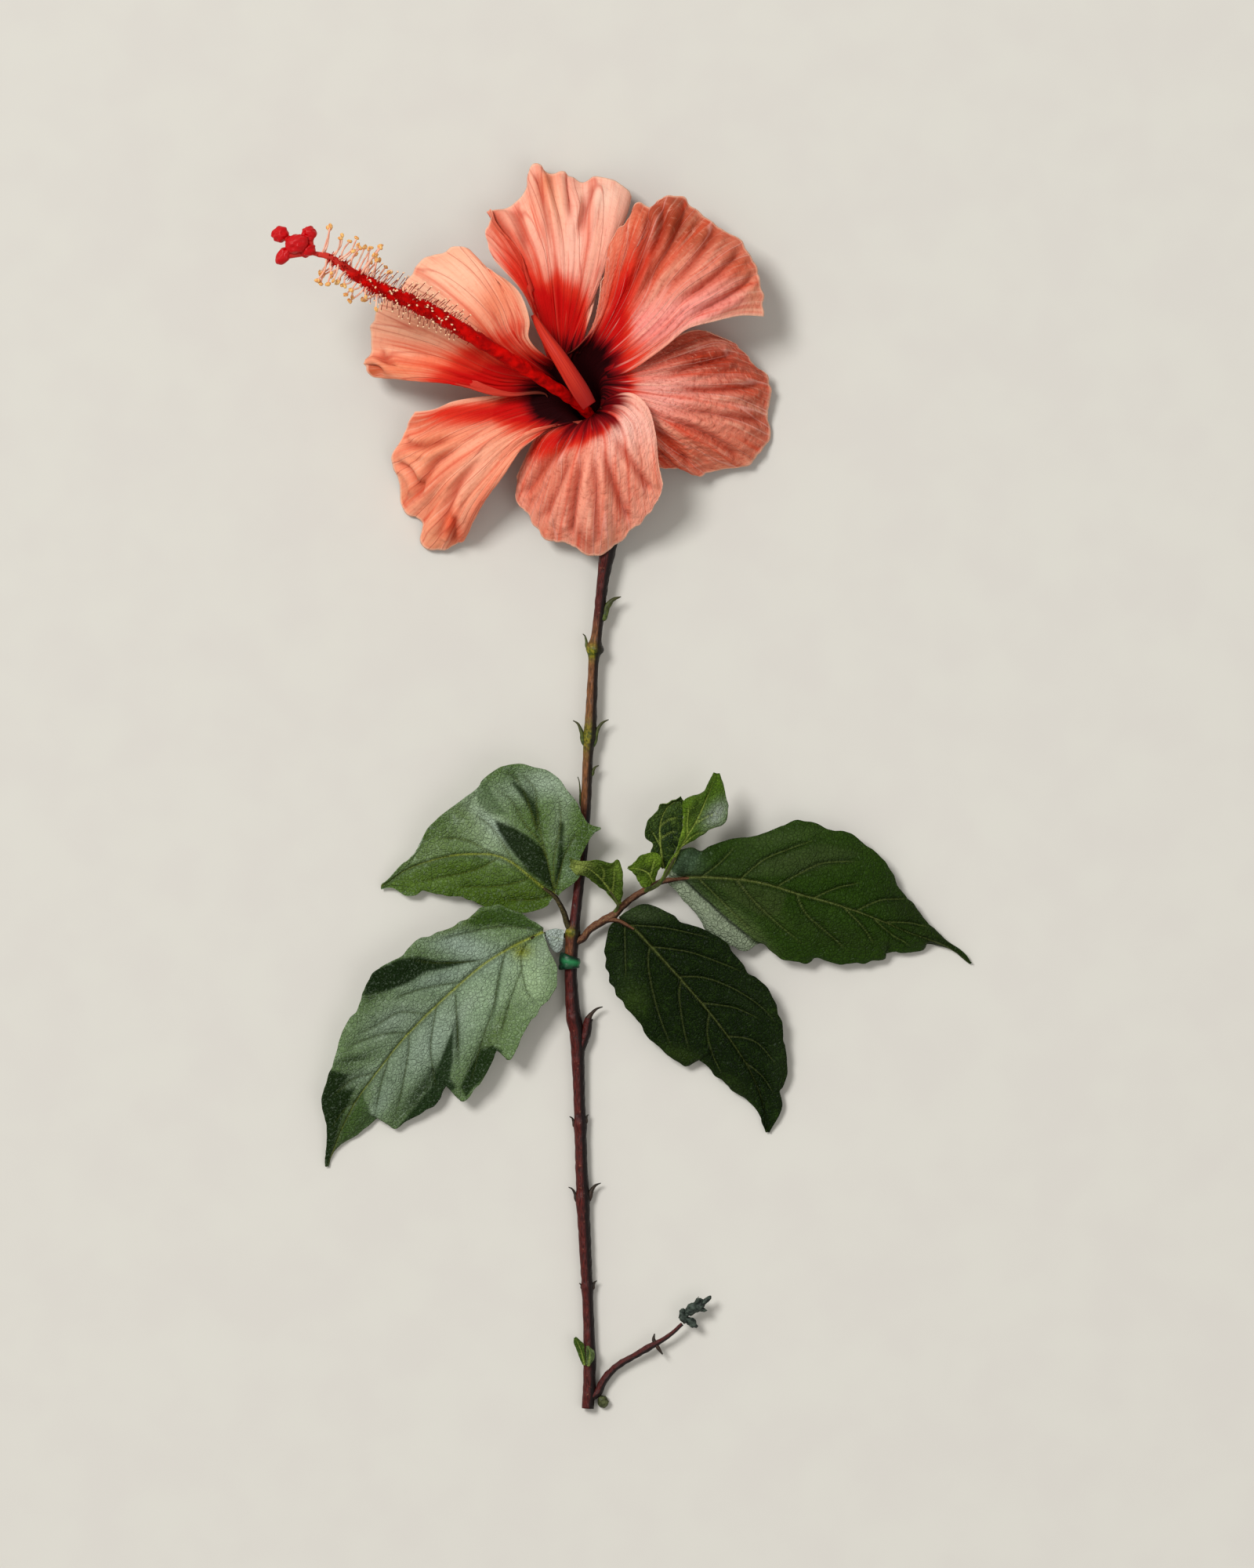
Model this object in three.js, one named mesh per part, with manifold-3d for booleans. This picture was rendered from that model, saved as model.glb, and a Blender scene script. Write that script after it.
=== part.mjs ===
// A cut hibiscus stem with one open flower, lying on its back on a flat surface.
// Millimetres. The surface is z = 0, +Y runs up the stem and +Z is up, towards the open flower.

import * as THREE from 'three';
import { mergeVertices } from 'three/addons/utils/BufferGeometryUtils.js';
import Module from 'manifold-3d';

const wasm = await Module();
wasm.setup();

// ---------------------------------------------------------------- driving dimensions
const STEM_LENGTH = 304.7;
const STEM_THICKNESS = 3.7;
const BLOOM_WIDTH = 132.5;
const PETAL_THICKNESS = 0.8;
const STRIP_THICKNESS = 1.0;
const UPPER_LEFT_LEAF_LENGTH = 55.6;
const LOWER_LEFT_LEAF_LENGTH = 102.4;
const RIGHT_LEAF_LENGTH = 100.7;
const LOWER_RIGHT_LEAF_LENGTH = 83.1;
const LEAF_THICKNESS = 0.8;
const PETIOLE_RADIUS = 0.85;
const BRANCH_RADIUS = 1.25;
const TWIG_RADIUS = 1.2;
const COLLAR_HEIGHT = 3.6;
const COLLAR_WALL = 0.9;
const GAP = 0.3;

// The shapes below are drawn at these sizes and then take the sizes above.
const DRAWN_STEM_LENGTH = 304.7;
const DRAWN_STEM_THICKNESS = 3.7;
const DRAWN_BLOOM_WIDTH = 132.5;

const stemScale = STEM_LENGTH / DRAWN_STEM_LENGTH;
const girth = STEM_THICKNESS / DRAWN_STEM_THICKNESS;
const bloomScale = BLOOM_WIDTH / DRAWN_BLOOM_WIDTH;

const COLOURS = {
  bark: [0x3d1512, 0.42],
  twig: [0x5a2c20, 0.5],
  green: [0x4c6b1e, 0.55],
  collar: [0x2c8a4d, 0.5],
  leaf: [0x2f4a1c, 0.5],
  paleLeaf: [0x7d9678, 0.55],
  youngLeaf: [0x7d9a24, 0.5],
  petal: [0xf0a184, 0.6],
  redPetal: [0xc8371c, 0.55],
  calyx: [0x5f7a2c, 0.6],
  column: [0x8c1a1c, 0.5],
  stigma: [0x6e0f1c, 0.6],
};

const group = new THREE.Group();

function addPiece(name, geometry, [color, roughness]) {
  const material = new THREE.MeshStandardMaterial({ color, roughness, metalness: 0 });
  const mesh = new THREE.Mesh(geometry, material);
  mesh.name = name;
  group.add(mesh);
}

// ---------------------------------------------------------------- small helpers
const vec = (x, y, z) => new THREE.Vector3(x, y, z);

const flatCurve = (points) => new THREE.SplineCurve(points.map(([x, y]) => new THREE.Vector2(x, y)));

const spaceCurve = (points) => new THREE.CatmullRomCurve3(points, false, 'centripetal');

// A smooth value at x through rows of [x, value, value, ...].
function smoothRow(rows, x) {
  const above = rows.findIndex((row) => row[0] > x);
  const i = above < 0 ? rows.length - 2 : Math.max(0, above - 1);
  const [a, b] = [rows[i], rows[i + 1]];
  const before = rows[Math.max(0, i - 1)];
  const after = rows[Math.min(rows.length - 1, i + 2)];
  const span = b[0] - a[0];
  const t = Math.min(1, Math.max(0, (x - a[0]) / span));
  return a.slice(1).map((value, column) => {
    const k = column + 1;
    const slopeA = ((b[k] - before[k]) / (b[0] - before[0])) * span;
    const slopeB = ((after[k] - value) / (after[0] - a[0])) * span;
    const t2 = t * t;
    const t3 = t2 * t;
    return (2 * t3 - 3 * t2 + 1) * value + (t3 - 2 * t2 + t) * slopeA
      + (-2 * t3 + 3 * t2) * b[k] + (t3 - t2) * slopeB;
  });
}

// The value at t (0 to 1) of the parabola through three evenly spaced values.
function throughThree([a, b, c], t) {
  return a * (1 - t) * (1 - 2 * t) + b * 4 * t * (1 - t) + c * t * (2 * t - 1);
}

// The value at t (0 to 1) of the cubic through four evenly spaced values.
function throughFour([a, b, c, d], t) {
  const s = 3 * t;
  return (a * (1 - s) * (2 - s) * (3 - s)) / 6 + (b * s * (2 - s) * (3 - s)) / 2
    + (c * s * (s - 1) * (3 - s)) / 2 + (d * s * (s - 1) * (s - 2)) / 6;
}

function closedGeometry(points, faces) {
  const geometry = new THREE.BufferGeometry();
  geometry.setAttribute('position', new THREE.Float32BufferAttribute(points.flatMap((p) => p.toArray()), 3));
  geometry.setIndex(faces.flat());
  return geometry;
}

// A thin closed skin either side of surface(u, v), with rows at uValues and columns at vValues.
function skin(surface, uValues, vValues, thickness) {
  const step = 1e-3;
  const rows = uValues.length;
  const columns = vValues.length;
  const top = [];
  const bottom = [];
  for (const u of uValues) {
    for (const v of vValues) {
      const alongU = surface(Math.min(1, u + step), v).sub(surface(Math.max(0, u - step), v));
      const alongV = surface(u, Math.min(1, v + step)).sub(surface(u, Math.max(0, v - step)));
      const normal = alongU.cross(alongV).normalize().multiplyScalar(thickness / 2);
      const middle = surface(u, v);
      top.push(middle.clone().add(normal));
      bottom.push(middle.clone().sub(normal));
    }
  }
  const at = (i, j) => i * columns + j;
  const under = top.length;
  const faces = [];
  for (let i = 0; i < rows - 1; i += 1) {
    for (let j = 0; j < columns - 1; j += 1) {
      const [a, b, c, d] = [at(i, j), at(i + 1, j), at(i + 1, j + 1), at(i, j + 1)];
      faces.push([a, b, c], [a, c, d], [under + a, under + c, under + b], [under + a, under + d, under + c]);
    }
  }
  const rim = [];
  for (let i = 0; i < rows - 1; i += 1) rim.push(at(i, 0));
  for (let j = 0; j < columns - 1; j += 1) rim.push(at(rows - 1, j));
  for (let i = rows - 1; i > 0; i -= 1) rim.push(at(i, columns - 1));
  for (let j = columns - 1; j > 0; j -= 1) rim.push(at(0, j));
  rim.forEach((a, k) => {
    const b = rim[(k + 1) % rim.length];
    faces.push([a, under + a, under + b], [a, under + b, b]);
  });
  return closedGeometry([...top, ...bottom], faces);
}

// A closed round rod along curve, with radiusAt(t), flat at both ends.
function rod(curve, radiusAt, steps, sides) {
  const points = [];
  const faces = [];
  for (let i = 0; i <= steps; i += 1) {
    const t = i / steps;
    const centre = curve.getPointAt(t);
    const tangent = curve.getTangentAt(t);
    const guide = Math.abs(tangent.z) < 0.9 ? vec(0, 0, 1) : vec(1, 0, 0);
    const side = tangent.clone().cross(guide).normalize();
    const lift = side.clone().cross(tangent);
    for (let k = 0; k < sides; k += 1) {
      const angle = (2 * Math.PI * k) / sides;
      const out = side.clone().multiplyScalar(Math.cos(angle)).addScaledVector(lift, -Math.sin(angle));
      points.push(centre.clone().addScaledVector(out, radiusAt(t)));
    }
  }
  for (let i = 0; i < steps; i += 1) {
    for (let k = 0; k < sides; k += 1) {
      const a = i * sides + k;
      const b = i * sides + ((k + 1) % sides);
      faces.push([a, b, b + sides], [a, b + sides, a + sides]);
    }
  }
  const start = points.push(curve.getPointAt(0)) - 1;
  const end = points.push(curve.getPointAt(1)) - 1;
  for (let k = 0; k < sides; k += 1) {
    const next = (k + 1) % sides;
    faces.push([start, next, k], [end, steps * sides + k, steps * sides + next]);
  }
  return closedGeometry(points, faces);
}

const taper = (from, to) => (t) => from + (to - from) * t;

function bud(centre, radii, turn) {
  const geometry = new THREE.SphereGeometry(1, 8, 5);
  geometry.scale(...radii);
  geometry.rotateZ(turn);
  geometry.translate(centre.x, centre.y, centre.z);
  return geometry;
}

// One closed body from overlapping closed geometries.
function fuse(geometries) {
  const solids = geometries.map((source) => {
    const geometry = source.clone();
    geometry.deleteAttribute('normal');
    geometry.deleteAttribute('uv');
    const merged = mergeVertices(geometry, 1e-4);
    return new wasm.Manifold(new wasm.Mesh({
      numProp: 3,
      vertProperties: merged.attributes.position.array,
      triVerts: new Uint32Array(merged.index.array),
    }));
  });
  const { vertProperties, triVerts } = solids.reduce((whole, solid) => whole.add(solid)).getMesh();
  const geometry = new THREE.BufferGeometry();
  geometry.setAttribute('position', new THREE.Float32BufferAttribute(vertProperties, 3));
  geometry.setIndex([...triVerts]);
  return geometry;
}

const evenly = (count) => Array.from({ length: count + 1 }, (_, i) => i / count);

// ---------------------------------------------------------------- stem
// Rows: height above the cut, sideways place, height of the centre over the surface, radius.
const STEM_FOOT = -199.4;
const STEM_SHAPE = [
  [0, -11.8, 2.0, 1.95], [12, -11.2, 2.0, 2.0], [35, -11.8, 2.1, 1.75], [65, -13.3, 2.3, 2.05],
  [95, -14.4, 2.5, 1.85], [118, -15.2, 2.9, 2.2], [127, -16.5, 3.1, 2.3], [140, -17.2, 3.4, 2.0],
  [152, -16.6, 3.6, 2.2], [158, -15.7, 3.7, 1.65], [185, -12.9, 4.0, 1.65], [210, -11.7, 4.4, 1.65],
  [217, -11.0, 4.5, 1.9], [238, -10.0, 4.9, 1.65], [243, -9.6, 5.0, 2.5], [248, -8.9, 5.1, 1.7],
  [265, -6.9, 5.6, 1.9], [275, -5.3, 6.0, 2.6], [290, -1.6, 6.2, 2.3], [298, 0.9, 6.3, 2.2],
  [304.7, 1.7, 6.3, 2.2],
];
const SCAR_HEIGHT = 118.5;
const COLLAR_CENTRE = 143.4;
const COLLAR_TILT = -0.14;
const COLLAR_BULGE = 0.1;
const COLLAR_LIFT = 0.2;
const BEND_HEIGHT = 298;
const STEM_TURN = 1.6;
const STEM_POINTS = 60;
// The flower's tube leans up and to the left.
const TUBE_AXIS = vec(-0.64, 0.64, 0.43).normalize();

function stemAt(height) {
  const [x, z, radius] = smoothRow(STEM_SHAPE, height);
  return { centre: vec(x, STEM_FOOT + height * stemScale, z * girth), radius: radius * girth };
}

const stemTop = stemAt(DRAWN_STEM_LENGTH);
const bloomFoot = vec(1.7, 105.3, 6.3);

// The last stretch turns in line with the tube of the flower.
function makeStem() {
  const straight = evenly(STEM_POINTS).map((t) => stemAt(t * BEND_HEIGHT).centre);
  const bend = stemTop.centre.clone().addScaledVector(TUBE_AXIS, -STEM_TURN);
  const curve = spaceCurve([...straight, bend, stemTop.centre]);
  addPiece('main_stem', rod(curve, (t) => stemAt(t * DRAWN_STEM_LENGTH).radius, 44, 10), COLOURS.bark);
}

function makeCollar() {
  const { centre, radius } = stemAt(COLLAR_CENTRE);
  const lean = 2 * COLLAR_HEIGHT * Math.abs(COLLAR_TILT);
  const inner = radius + GAP + lean / 2;
  const outer = inner + COLLAR_WALL;
  const half = COLLAR_HEIGHT / 2;
  const profile = [
    [inner, -half], [outer, -half], [outer + COLLAR_BULGE, 0], [outer, half], [inner, half], [inner, -half],
  ];
  const geometry = new THREE.LatheGeometry(profile.map(([x, y]) => new THREE.Vector2(x, y)), 16);
  geometry.rotateZ(COLLAR_TILT);
  geometry.translate(centre.x, centre.y, Math.max(centre.z, outer + COLLAR_LIFT));
  addPiece('stem_collar', geometry, COLOURS.collar);
}

// ---------------------------------------------------------------- stipules along the stem
// height: where it leaves the stem; side: -1 left, 1 right; reach: to its tip; radius at its foot.
const STIPULES = [
  { height: 253, side: 1, reach: [5.6, 6.8], radius: 0.85 },
  { height: 243.5, side: -1, reach: [-1.4, 4.4], radius: 0.35 },
  { height: 212.5, side: 1, reach: [4.8, 8.0], radius: 0.6 },
  { height: 213, side: -1, reach: [-3.4, 7.2], radius: 0.6 },
  { height: 203, side: 1, reach: [2.2, 2.8], radius: 0.5 },
  { height: 193, side: -1, reach: [-1.0, 9.2], radius: 0.35 },
  { height: 90.5, side: -1, reach: [-1.6, 3.0], radius: 0.5 },
  { height: 91.5, side: 1, reach: [0.9, 2.6], radius: 0.5 },
  { height: 66.5, side: -1, reach: [-2.6, 4.4], radius: 0.5 },
  { height: 67, side: 1, reach: [3.8, 5.2], radius: 0.65 },
  { height: 38.5, side: -1, reach: [-0.9, 1.6], radius: 0.35 },
  { height: 38.5, side: 1, reach: [1.4, 2.4], radius: 0.5 },
];
const TIP_RADIUS = 0.18;

function bract(foot, reach, radius) {
  const [x, y] = reach;
  const bend = foot.clone().add(vec(x * 0.2, y * 0.55, 0));
  const curve = new THREE.QuadraticBezierCurve3(foot, bend, foot.clone().add(vec(x, y, 0.4)));
  return rod(curve, (t) => TIP_RADIUS + (radius - TIP_RADIUS) * (1 - t * t), 4, 6);
}

function makeStipules() {
  STIPULES.forEach(({ height, side, reach, radius }, index) => {
    const { centre, radius: stemRadius } = stemAt(height);
    const widest = Math.max(stemRadius, stemAt(height + 3).radius, stemAt(height + 6).radius);
    const foot = centre.clone().add(vec(side * (widest + GAP + radius), 0, 0));
    addPiece(`stipule_${index + 1}`, bract(foot, reach, radius), COLOURS.green);
  });
  const scar = stemAt(SCAR_HEIGHT);
  const scarRadius = 1.3;
  const widest = Math.max(scar.radius, stemAt(SCAR_HEIGHT + 6).radius);
  const foot = scar.centre.clone().add(vec(widest + GAP + scarRadius, 0, 0));
  const tip = foot.clone().add(vec(0, 6, 0));
  addPiece('leaf_scar', rod(new THREE.LineCurve3(foot, tip), taper(0.5, scarRadius), 2, 7), COLOURS.bark);
  const thornFoot = tip.clone().add(vec(0, GAP + 0.4, 0));
  addPiece('scar_thorn', bract(thornFoot, [4.2, 2.8], 0.4), COLOURS.bark);
}

// ---------------------------------------------------------------- side branch and base twig
function beside(height, side, radius) {
  const { centre, radius: stemRadius } = stemAt(height);
  return centre.clone().add(vec(side * (stemRadius + GAP + radius), 0, 0));
}

const BRANCH_HEIGHT = 150.8;
const BRANCH_TAPER = 0.8;
// Share of the branch's length at which the lower leaf forks off.
const FORK_PLACE = 0.38;
const branchFoot = beside(BRANCH_HEIGHT, 1, BRANCH_RADIUS);
const branchPoint = (x, y, z) => branchFoot.clone().add(vec(x, y, z));
const branchCurve = spaceCurve([
  branchFoot, branchPoint(2.0, 2.6, 0.5), branchPoint(6.6, 5.5, 1.1), branchPoint(9.6, 7.1, 1.4),
  branchPoint(12.4, 10.0, 1.8), branchPoint(16.4, 13.2, 2.1), branchPoint(22.4, 16.6, 2.6),
]);

function makeBranch() {
  const thins = taper(BRANCH_RADIUS, BRANCH_RADIUS * BRANCH_TAPER);
  addPiece('side_branch', rod(branchCurve, thins, 16, 8), COLOURS.twig);
}

const TWIG_HEIGHT = 5.4;
const twigFoot = beside(TWIG_HEIGHT, 1, TWIG_RADIUS);
const twigPoint = (x, y, z) => twigFoot.clone().add(vec(x, y, z));
// Share of the twig's length at which its pair of bracts stands.
const BRACT_PLACE = 0.72;
const BRACT_ROOM = 0.4;
const twigCurve = spaceCurve([
  twigFoot, twigPoint(1.6, 3.4, 0.2), twigPoint(4.2, 6.6, 0.5), twigPoint(7.4, 9.2, 0.9),
  twigPoint(11.2, 11.3, 1.3), twigPoint(15.4, 13.8, 1.8), twigPoint(22.0, 17.6, 2.4),
  twigPoint(26.6, 21.6, 2.8),
]);
const TWIG_TIP_RADIUS = 0.55;

function makeTwig() {
  addPiece('base_twig', rod(twigCurve, taper(TWIG_RADIUS, TWIG_TIP_RADIUS), 16, 7), COLOURS.bark);
  const tip = twigCurve.getPointAt(1);
  const budAt = (x, y, z) => tip.clone().add(vec(x, y, z));
  const scales = [
    bud(budAt(0.4, 2.6, 0.2), [1.4, 2.1, 1.2], 0.3),
    bud(budAt(3.1, 0.6, 0), [2.6, 1.15, 1.0], -0.7),
    bud(budAt(4.4, 5.4, 0.6), [4.2, 1.9, 1.5], 0.5),
    rod(new THREE.LineCurve3(budAt(5.4, 6.0, 0.6), budAt(9.0, 8.2, 0.8)), taper(1.2, 0.45), 2, 6),
  ];
  addPiece('twig_tip_bud', fuse(scales), COLOURS.leaf);
  const middle = twigCurve.getPointAt(BRACT_PLACE);
  const clear = TWIG_RADIUS + GAP + BRACT_ROOM;
  const above = middle.clone().add(vec(-clear * 0.5, clear * 0.85, 0.2));
  const below = middle.clone().add(vec(clear * 0.5, -clear * 0.95, 0.2));
  addPiece('twig_bract_upper', bract(above, [0.2, 1.9], 0.45), COLOURS.bark);
  addPiece('twig_bract_lower', bract(below, [1.5, -2.0], 0.4), COLOURS.bark);
}

const BASE_BUD_RADII = [1.7, 2.0, 1.5];

function makeBaseBud() {
  const foot = stemAt(0);
  const x = foot.centre.x + foot.radius + GAP + BASE_BUD_RADII[0] + 0.9;
  addPiece('base_bud', bud(vec(x, STEM_FOOT + BASE_BUD_RADII[1], BASE_BUD_RADII[2]), BASE_BUD_RADII, 0),
    COLOURS.green);
}

// ---------------------------------------------------------------- leaves
// A leaf's outline is drawn in the plant's plane: midrib, first margin and second margin, each from the
// foot of the blade to its tip. lifts holds heights over the surface, a row for the first margin, the
// midrib and the second margin, each at the foot, one third, two thirds and the tip.
function leafSurface({ midrib, first, second, lifts, length }, place) {
  const [rib, one, two] = [midrib, first, second].map(flatCurve);
  const foot = rib.getPoint(0);
  const drawnLength = rib.getPoint(1).distanceTo(foot);
  const grow = length ? length / drawnLength : 1;
  return (s, t) => {
    const centre = rib.getPointAt(s);
    const margin = (t < 0.5 ? one : two).getPointAt(s);
    const share = Math.abs(2 * t - 1);
    const flat = centre.lerp(margin, share).sub(foot).multiplyScalar(grow);
    const lift = throughThree(lifts.map((row) => throughFour(row, s)), t);
    return vec(place.x + flat.x, place.y + flat.y, lift);
  };
}

function blade(leaf, place, rows = 18, columns = 6) {
  return skin(leafSurface(leaf, place), evenly(rows), evenly(columns), LEAF_THICKNESS);
}

const UPPER_LEFT_LEAF = {
  length: UPPER_LEFT_LEAF_LENGTH,
  midrib: [[-22.5, -35], [-26, -32.6], [-30, -29.4], [-35, -25.4], [-40, -22.7], [-46, -21.9], [-54, -22.2],
    [-62, -24], [-70, -27], [-78, -32.5]],
  first: [[-21.6, -34.4], [-17, -31.6], [-14.3, -28], [-13.4, -22], [-10, -16], [-7, -13.2], [-11.5, -11.2],
    [-15.5, -5], [-19.5, 0.5], [-25, 5], [-32, 7.2], [-39, 6.6], [-45, 3], [-48.5, -1.4], [-54, -5.6],
    [-60.5, -10.6], [-64.5, -14.8], [-67, -20.6], [-72, -26], [-77.6, -31.9]],
  second: [[-23.2, -35.8], [-25.5, -38.6], [-31, -40.4], [-38, -40], [-45, -38], [-51, -35.6], [-58, -34.6],
    [-64, -33.6], [-69, -35.2], [-74, -32.6], [-78, -33.2]],
  lifts: [[7.6, 13, 12, 2], [7, 8, 6, 1.6], [7, 5, 3.4, 1.4]],
};
const LOWER_LEFT_LEAF = {
  length: LOWER_LEFT_LEAF_LENGTH,
  midrib: [[-26, -46.8], [-31, -49], [-38, -52.6], [-46, -57.8], [-55, -65.5], [-64, -74], [-72, -82.4],
    [-79, -91.4], [-86, -101], [-91, -111], [-95.4, -122]],
  first: [[-26, -45.8], [-32, -41.6], [-39.5, -38.4], [-46, -39.4], [-52, -43.2], [-60, -47], [-66, -49],
    [-71, -54], [-78, -57.6], [-83, -63.4], [-84.4, -69.4], [-89, -77], [-92, -85], [-94.4, -91.4], [-97, -102],
    [-95, -110], [-96, -118], [-95.9, -122]],
  second: [[-25.4, -47.6], [-24.2, -52], [-21.9, -58], [-22, -65.5], [-27.5, -72], [-33, -81], [-36.5, -87.6],
    [-40, -84.6], [-45, -93.6], [-51.5, -101], [-55, -94.6], [-62, -103], [-69, -107], [-73.5, -110],
    [-77, -105.6], [-85, -110.6], [-92, -115.2], [-94.9, -122]],
  lifts: [[6.6, 11, 8, 1], [6.6, 9, 6.5, 0.8], [7.2, 9, 3.6, 0.8]],
};
const RIGHT_LEAF = {
  length: RIGHT_LEAF_LENGTH,
  midrib: [[14.2, -30.2], [20, -29.4], [27, -29.3], [36, -29.9], [45, -31.4], [56, -34.8], [67, -37.8],
    [79, -42], [91, -47], [103, -51.4], [111, -57]],
  first: [[14.6, -29.3], [15.4, -25], [19, -20.2], [24.5, -21.2], [31, -18.2], [41, -16.8], [50, -13.8],
    [54, -12], [60, -12], [65, -14.4], [71, -14.9], [79, -20.6], [84, -26.6], [89, -35], [95, -43],
    [101, -49], [107, -52.9], [111.2, -56.6]],
  second: [[14.2, -31.2], [18.5, -35.4], [24, -41.4], [26.4, -46], [32, -50], [38, -52.4], [44, -51.4],
    [50, -55], [57.6, -56], [61, -54.3], [70, -56.3], [82, -55.2], [83, -52.8], [94, -52], [97, -50],
    [104, -52.5], [110.6, -57]],
  lifts: [[6.8, 8, 5, 0.9], [6.6, 12, 8, 0.7], [6, 5, 3, 0.7]],
};
const LOWER_RIGHT_LEAF = {
  length: LOWER_RIGHT_LEAF_LENGTH,
  midrib: [[-2, -43.2], [3, -45.8], [8, -51], [14, -57.5], [21, -65.4], [28, -73.6], [35, -83], [40.5, -92],
    [44, -101], [45.8, -111]],
  first: [[-1.2, -42.6], [0.6, -40], [6, -38], [12, -40], [19, -43.7], [27, -46.4], [34, -52], [40, -60],
    [45.5, -65], [49.8, -75], [50.8, -82], [51.5, -93.6], [49.6, -97.4], [50, -103], [46.4, -111]],
  second: [[-2.8, -44], [-5, -46.6], [-6, -55], [-3.4, -65], [2.8, -72.6], [8, -80], [17, -88.6], [20, -89],
    [23, -87.2], [29, -92.4], [33, -95.6], [39, -100], [43.4, -104.6], [45.3, -111]],
  lifts: [[6.2, 9, 5, 0.7], [6, 8, 5.5, 0.7], [5.4, 4, 2.6, 0.7]],
};

// Shares of the blade's length where a petiole meets it and where it ends inside it.
const PETIOLE_MEETS = 0.01;
const PETIOLE_ENDS = 0.05;

// A petiole from its foot near the stem to the blade, buried in the blade's foot along the midrib.
function leafWithPetiole(leaf, path, radius = PETIOLE_RADIUS) {
  const place = path[path.length - 1];
  const surface = leafSurface(leaf, place);
  const inset = spaceCurve([
    ...path.slice(0, -1), surface(PETIOLE_MEETS, 0.5), surface(PETIOLE_ENDS, 0.5),
  ]);
  return fuse([blade(leaf, place), rod(inset, taper(radius, radius * 0.75), 10, 7)]);
}

function makeLeaves() {
  const leftFoot = beside(154.5, -1, PETIOLE_RADIUS);
  addPiece('leaf_upper_left', leafWithPetiole(UPPER_LEFT_LEAF, [
    leftFoot, leftFoot.clone().add(vec(-0.5, 3.6, 1.4)), leftFoot.clone().add(vec(-2.2, 7.2, 2.6)),
    leftFoot.clone().add(vec(-3.9, 9.9, 3.2)),
  ]), COLOURS.leaf);
  const lowerFoot = beside(150.6, -1, PETIOLE_RADIUS);
  addPiece('leaf_lower_left', leafWithPetiole(LOWER_LEFT_LEAF, [
    lowerFoot.clone().add(vec(0.4, 0, 0)), lowerFoot.clone().add(vec(-2.6, 1.6, 1.4)),
    lowerFoot.clone().add(vec(-6.3, 2.0, 3)),
  ]), COLOURS.paleLeaf);
  const fork = branchCurve.getPointAt(FORK_PLACE);
  const forkFoot = fork.clone().add(vec(0.7, -BRANCH_RADIUS - GAP - PETIOLE_RADIUS, 0));
  addPiece('leaf_lower_right', leafWithPetiole(LOWER_RIGHT_LEAF, [
    forkFoot, forkFoot.clone().add(vec(1.6, -0.4, 0.1)), forkFoot.clone().add(vec(3.2, -0.9, 0.3)),
  ]), COLOURS.leaf);
  const branchEnd = branchCurve.getPointAt(1);
  const onward = branchCurve.getTangentAt(1);
  const rightFoot = branchEnd.clone().addScaledVector(onward, GAP);
  addPiece('leaf_right', leafWithPetiole(RIGHT_LEAF, [
    rightFoot, rightFoot.clone().addScaledVector(onward, 2.6), rightFoot.clone().add(vec(5.2, 1.7, 0.1)),
  ]), COLOURS.leaf);
}

// ---------------------------------------------------------------- young leaves
const YOUNG_CENTRE = {
  midrib: [[-2, -38], [-5, -33], [-9, -28.4], [-13, -25.8], [-17.3, -25]],
  first: [[-2.6, -38], [-5, -35], [-9, -31.5], [-12.6, -28.8], [-15.2, -28.8], [-17.6, -25.8]],
  second: [[-1.5, -37.8], [-0.4, -34], [-0.5, -28.5], [-1.8, -23.6], [-4.6, -24.4], [-8.5, -23.7], [-12.4, -24.2],
    [-15.8, -23.8], [-17.4, -22.8]],
  lifts: [[8, 9.5, 13, 15], [8, 10.5, 14, 15.4], [8.4, 13, 15, 16]],
};
const YOUNG_SMALL = {
  midrib: [[9, -31], [7.5, -28], [4.6, -26.6], [1, -26.3]],
  first: [[8.2, -31.6], [6, -32.6], [4.4, -30.4], [2.6, -27.6], [0.8, -26.7]],
  second: [[9.8, -30.6], [10.6, -27.6], [12, -25], [11, -22], [8.6, -21.3], [5, -22.3], [3, -24.6], [1.1, -25.8]],
  lifts: [[10, 11, 12, 12.4], [10, 12.4, 13, 13], [10, 13, 14, 13.6]],
};
const YOUNG_DARK = {
  midrib: [[12.6, -26.6], [11.5, -20], [11.4, -12], [14, -6.5], [18.4, -4.4]],
  first: [[12, -26.4], [8.4, -22], [8.8, -18.5], [6.6, -16.4], [7, -11], [10, -8], [11.2, -5.5], [14.6, -5.1],
    [18, -3.5]],
  second: [[13.2, -26.6], [15.8, -22], [18, -17], [18.8, -11], [19.4, -5.2]],
  lifts: [[9.6, 12, 13, 14], [9.6, 11.4, 12, 13.4], [10, 12, 12.6, 13]],
};
const YOUNG_BRIGHT = {
  midrib: [[12, -30], [16, -23], [19.5, -17], [24, -9], [29.2, 4]],
  first: [[11.3, -30], [14, -25], [16.8, -20], [18.2, -13], [19.2, -5], [22, -3.4], [26, -1], [28.7, 4]],
  second: [[12.6, -30.2], [16.2, -23.6], [19.6, -18.9], [25, -15.3], [32, -10.6], [32.7, -7], [31.3, -1],
    [29.7, 3.8]],
  lifts: [[12.5, 17, 18, 17], [12.3, 17, 19, 17.5], [12.5, 16, 16, 17]],
};
const BUD_LEAF_LEFT = {
  midrib: [[-12.9, -185.4], [-13.6, -182], [-14.6, -179], [-15.9, -176.6]],
  first: [[-13.3, -185.2], [-15, -181.4], [-16.1, -178.4], [-16.2, -176.8]],
  second: [[-12.5, -185.4], [-12.7, -181.6], [-13.2, -178.4], [-15.6, -176.5]],
  lifts: [[4.9, 5, 4.6, 4], [5, 5.4, 5, 4], [5, 5.4, 5, 4]],
};
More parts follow.
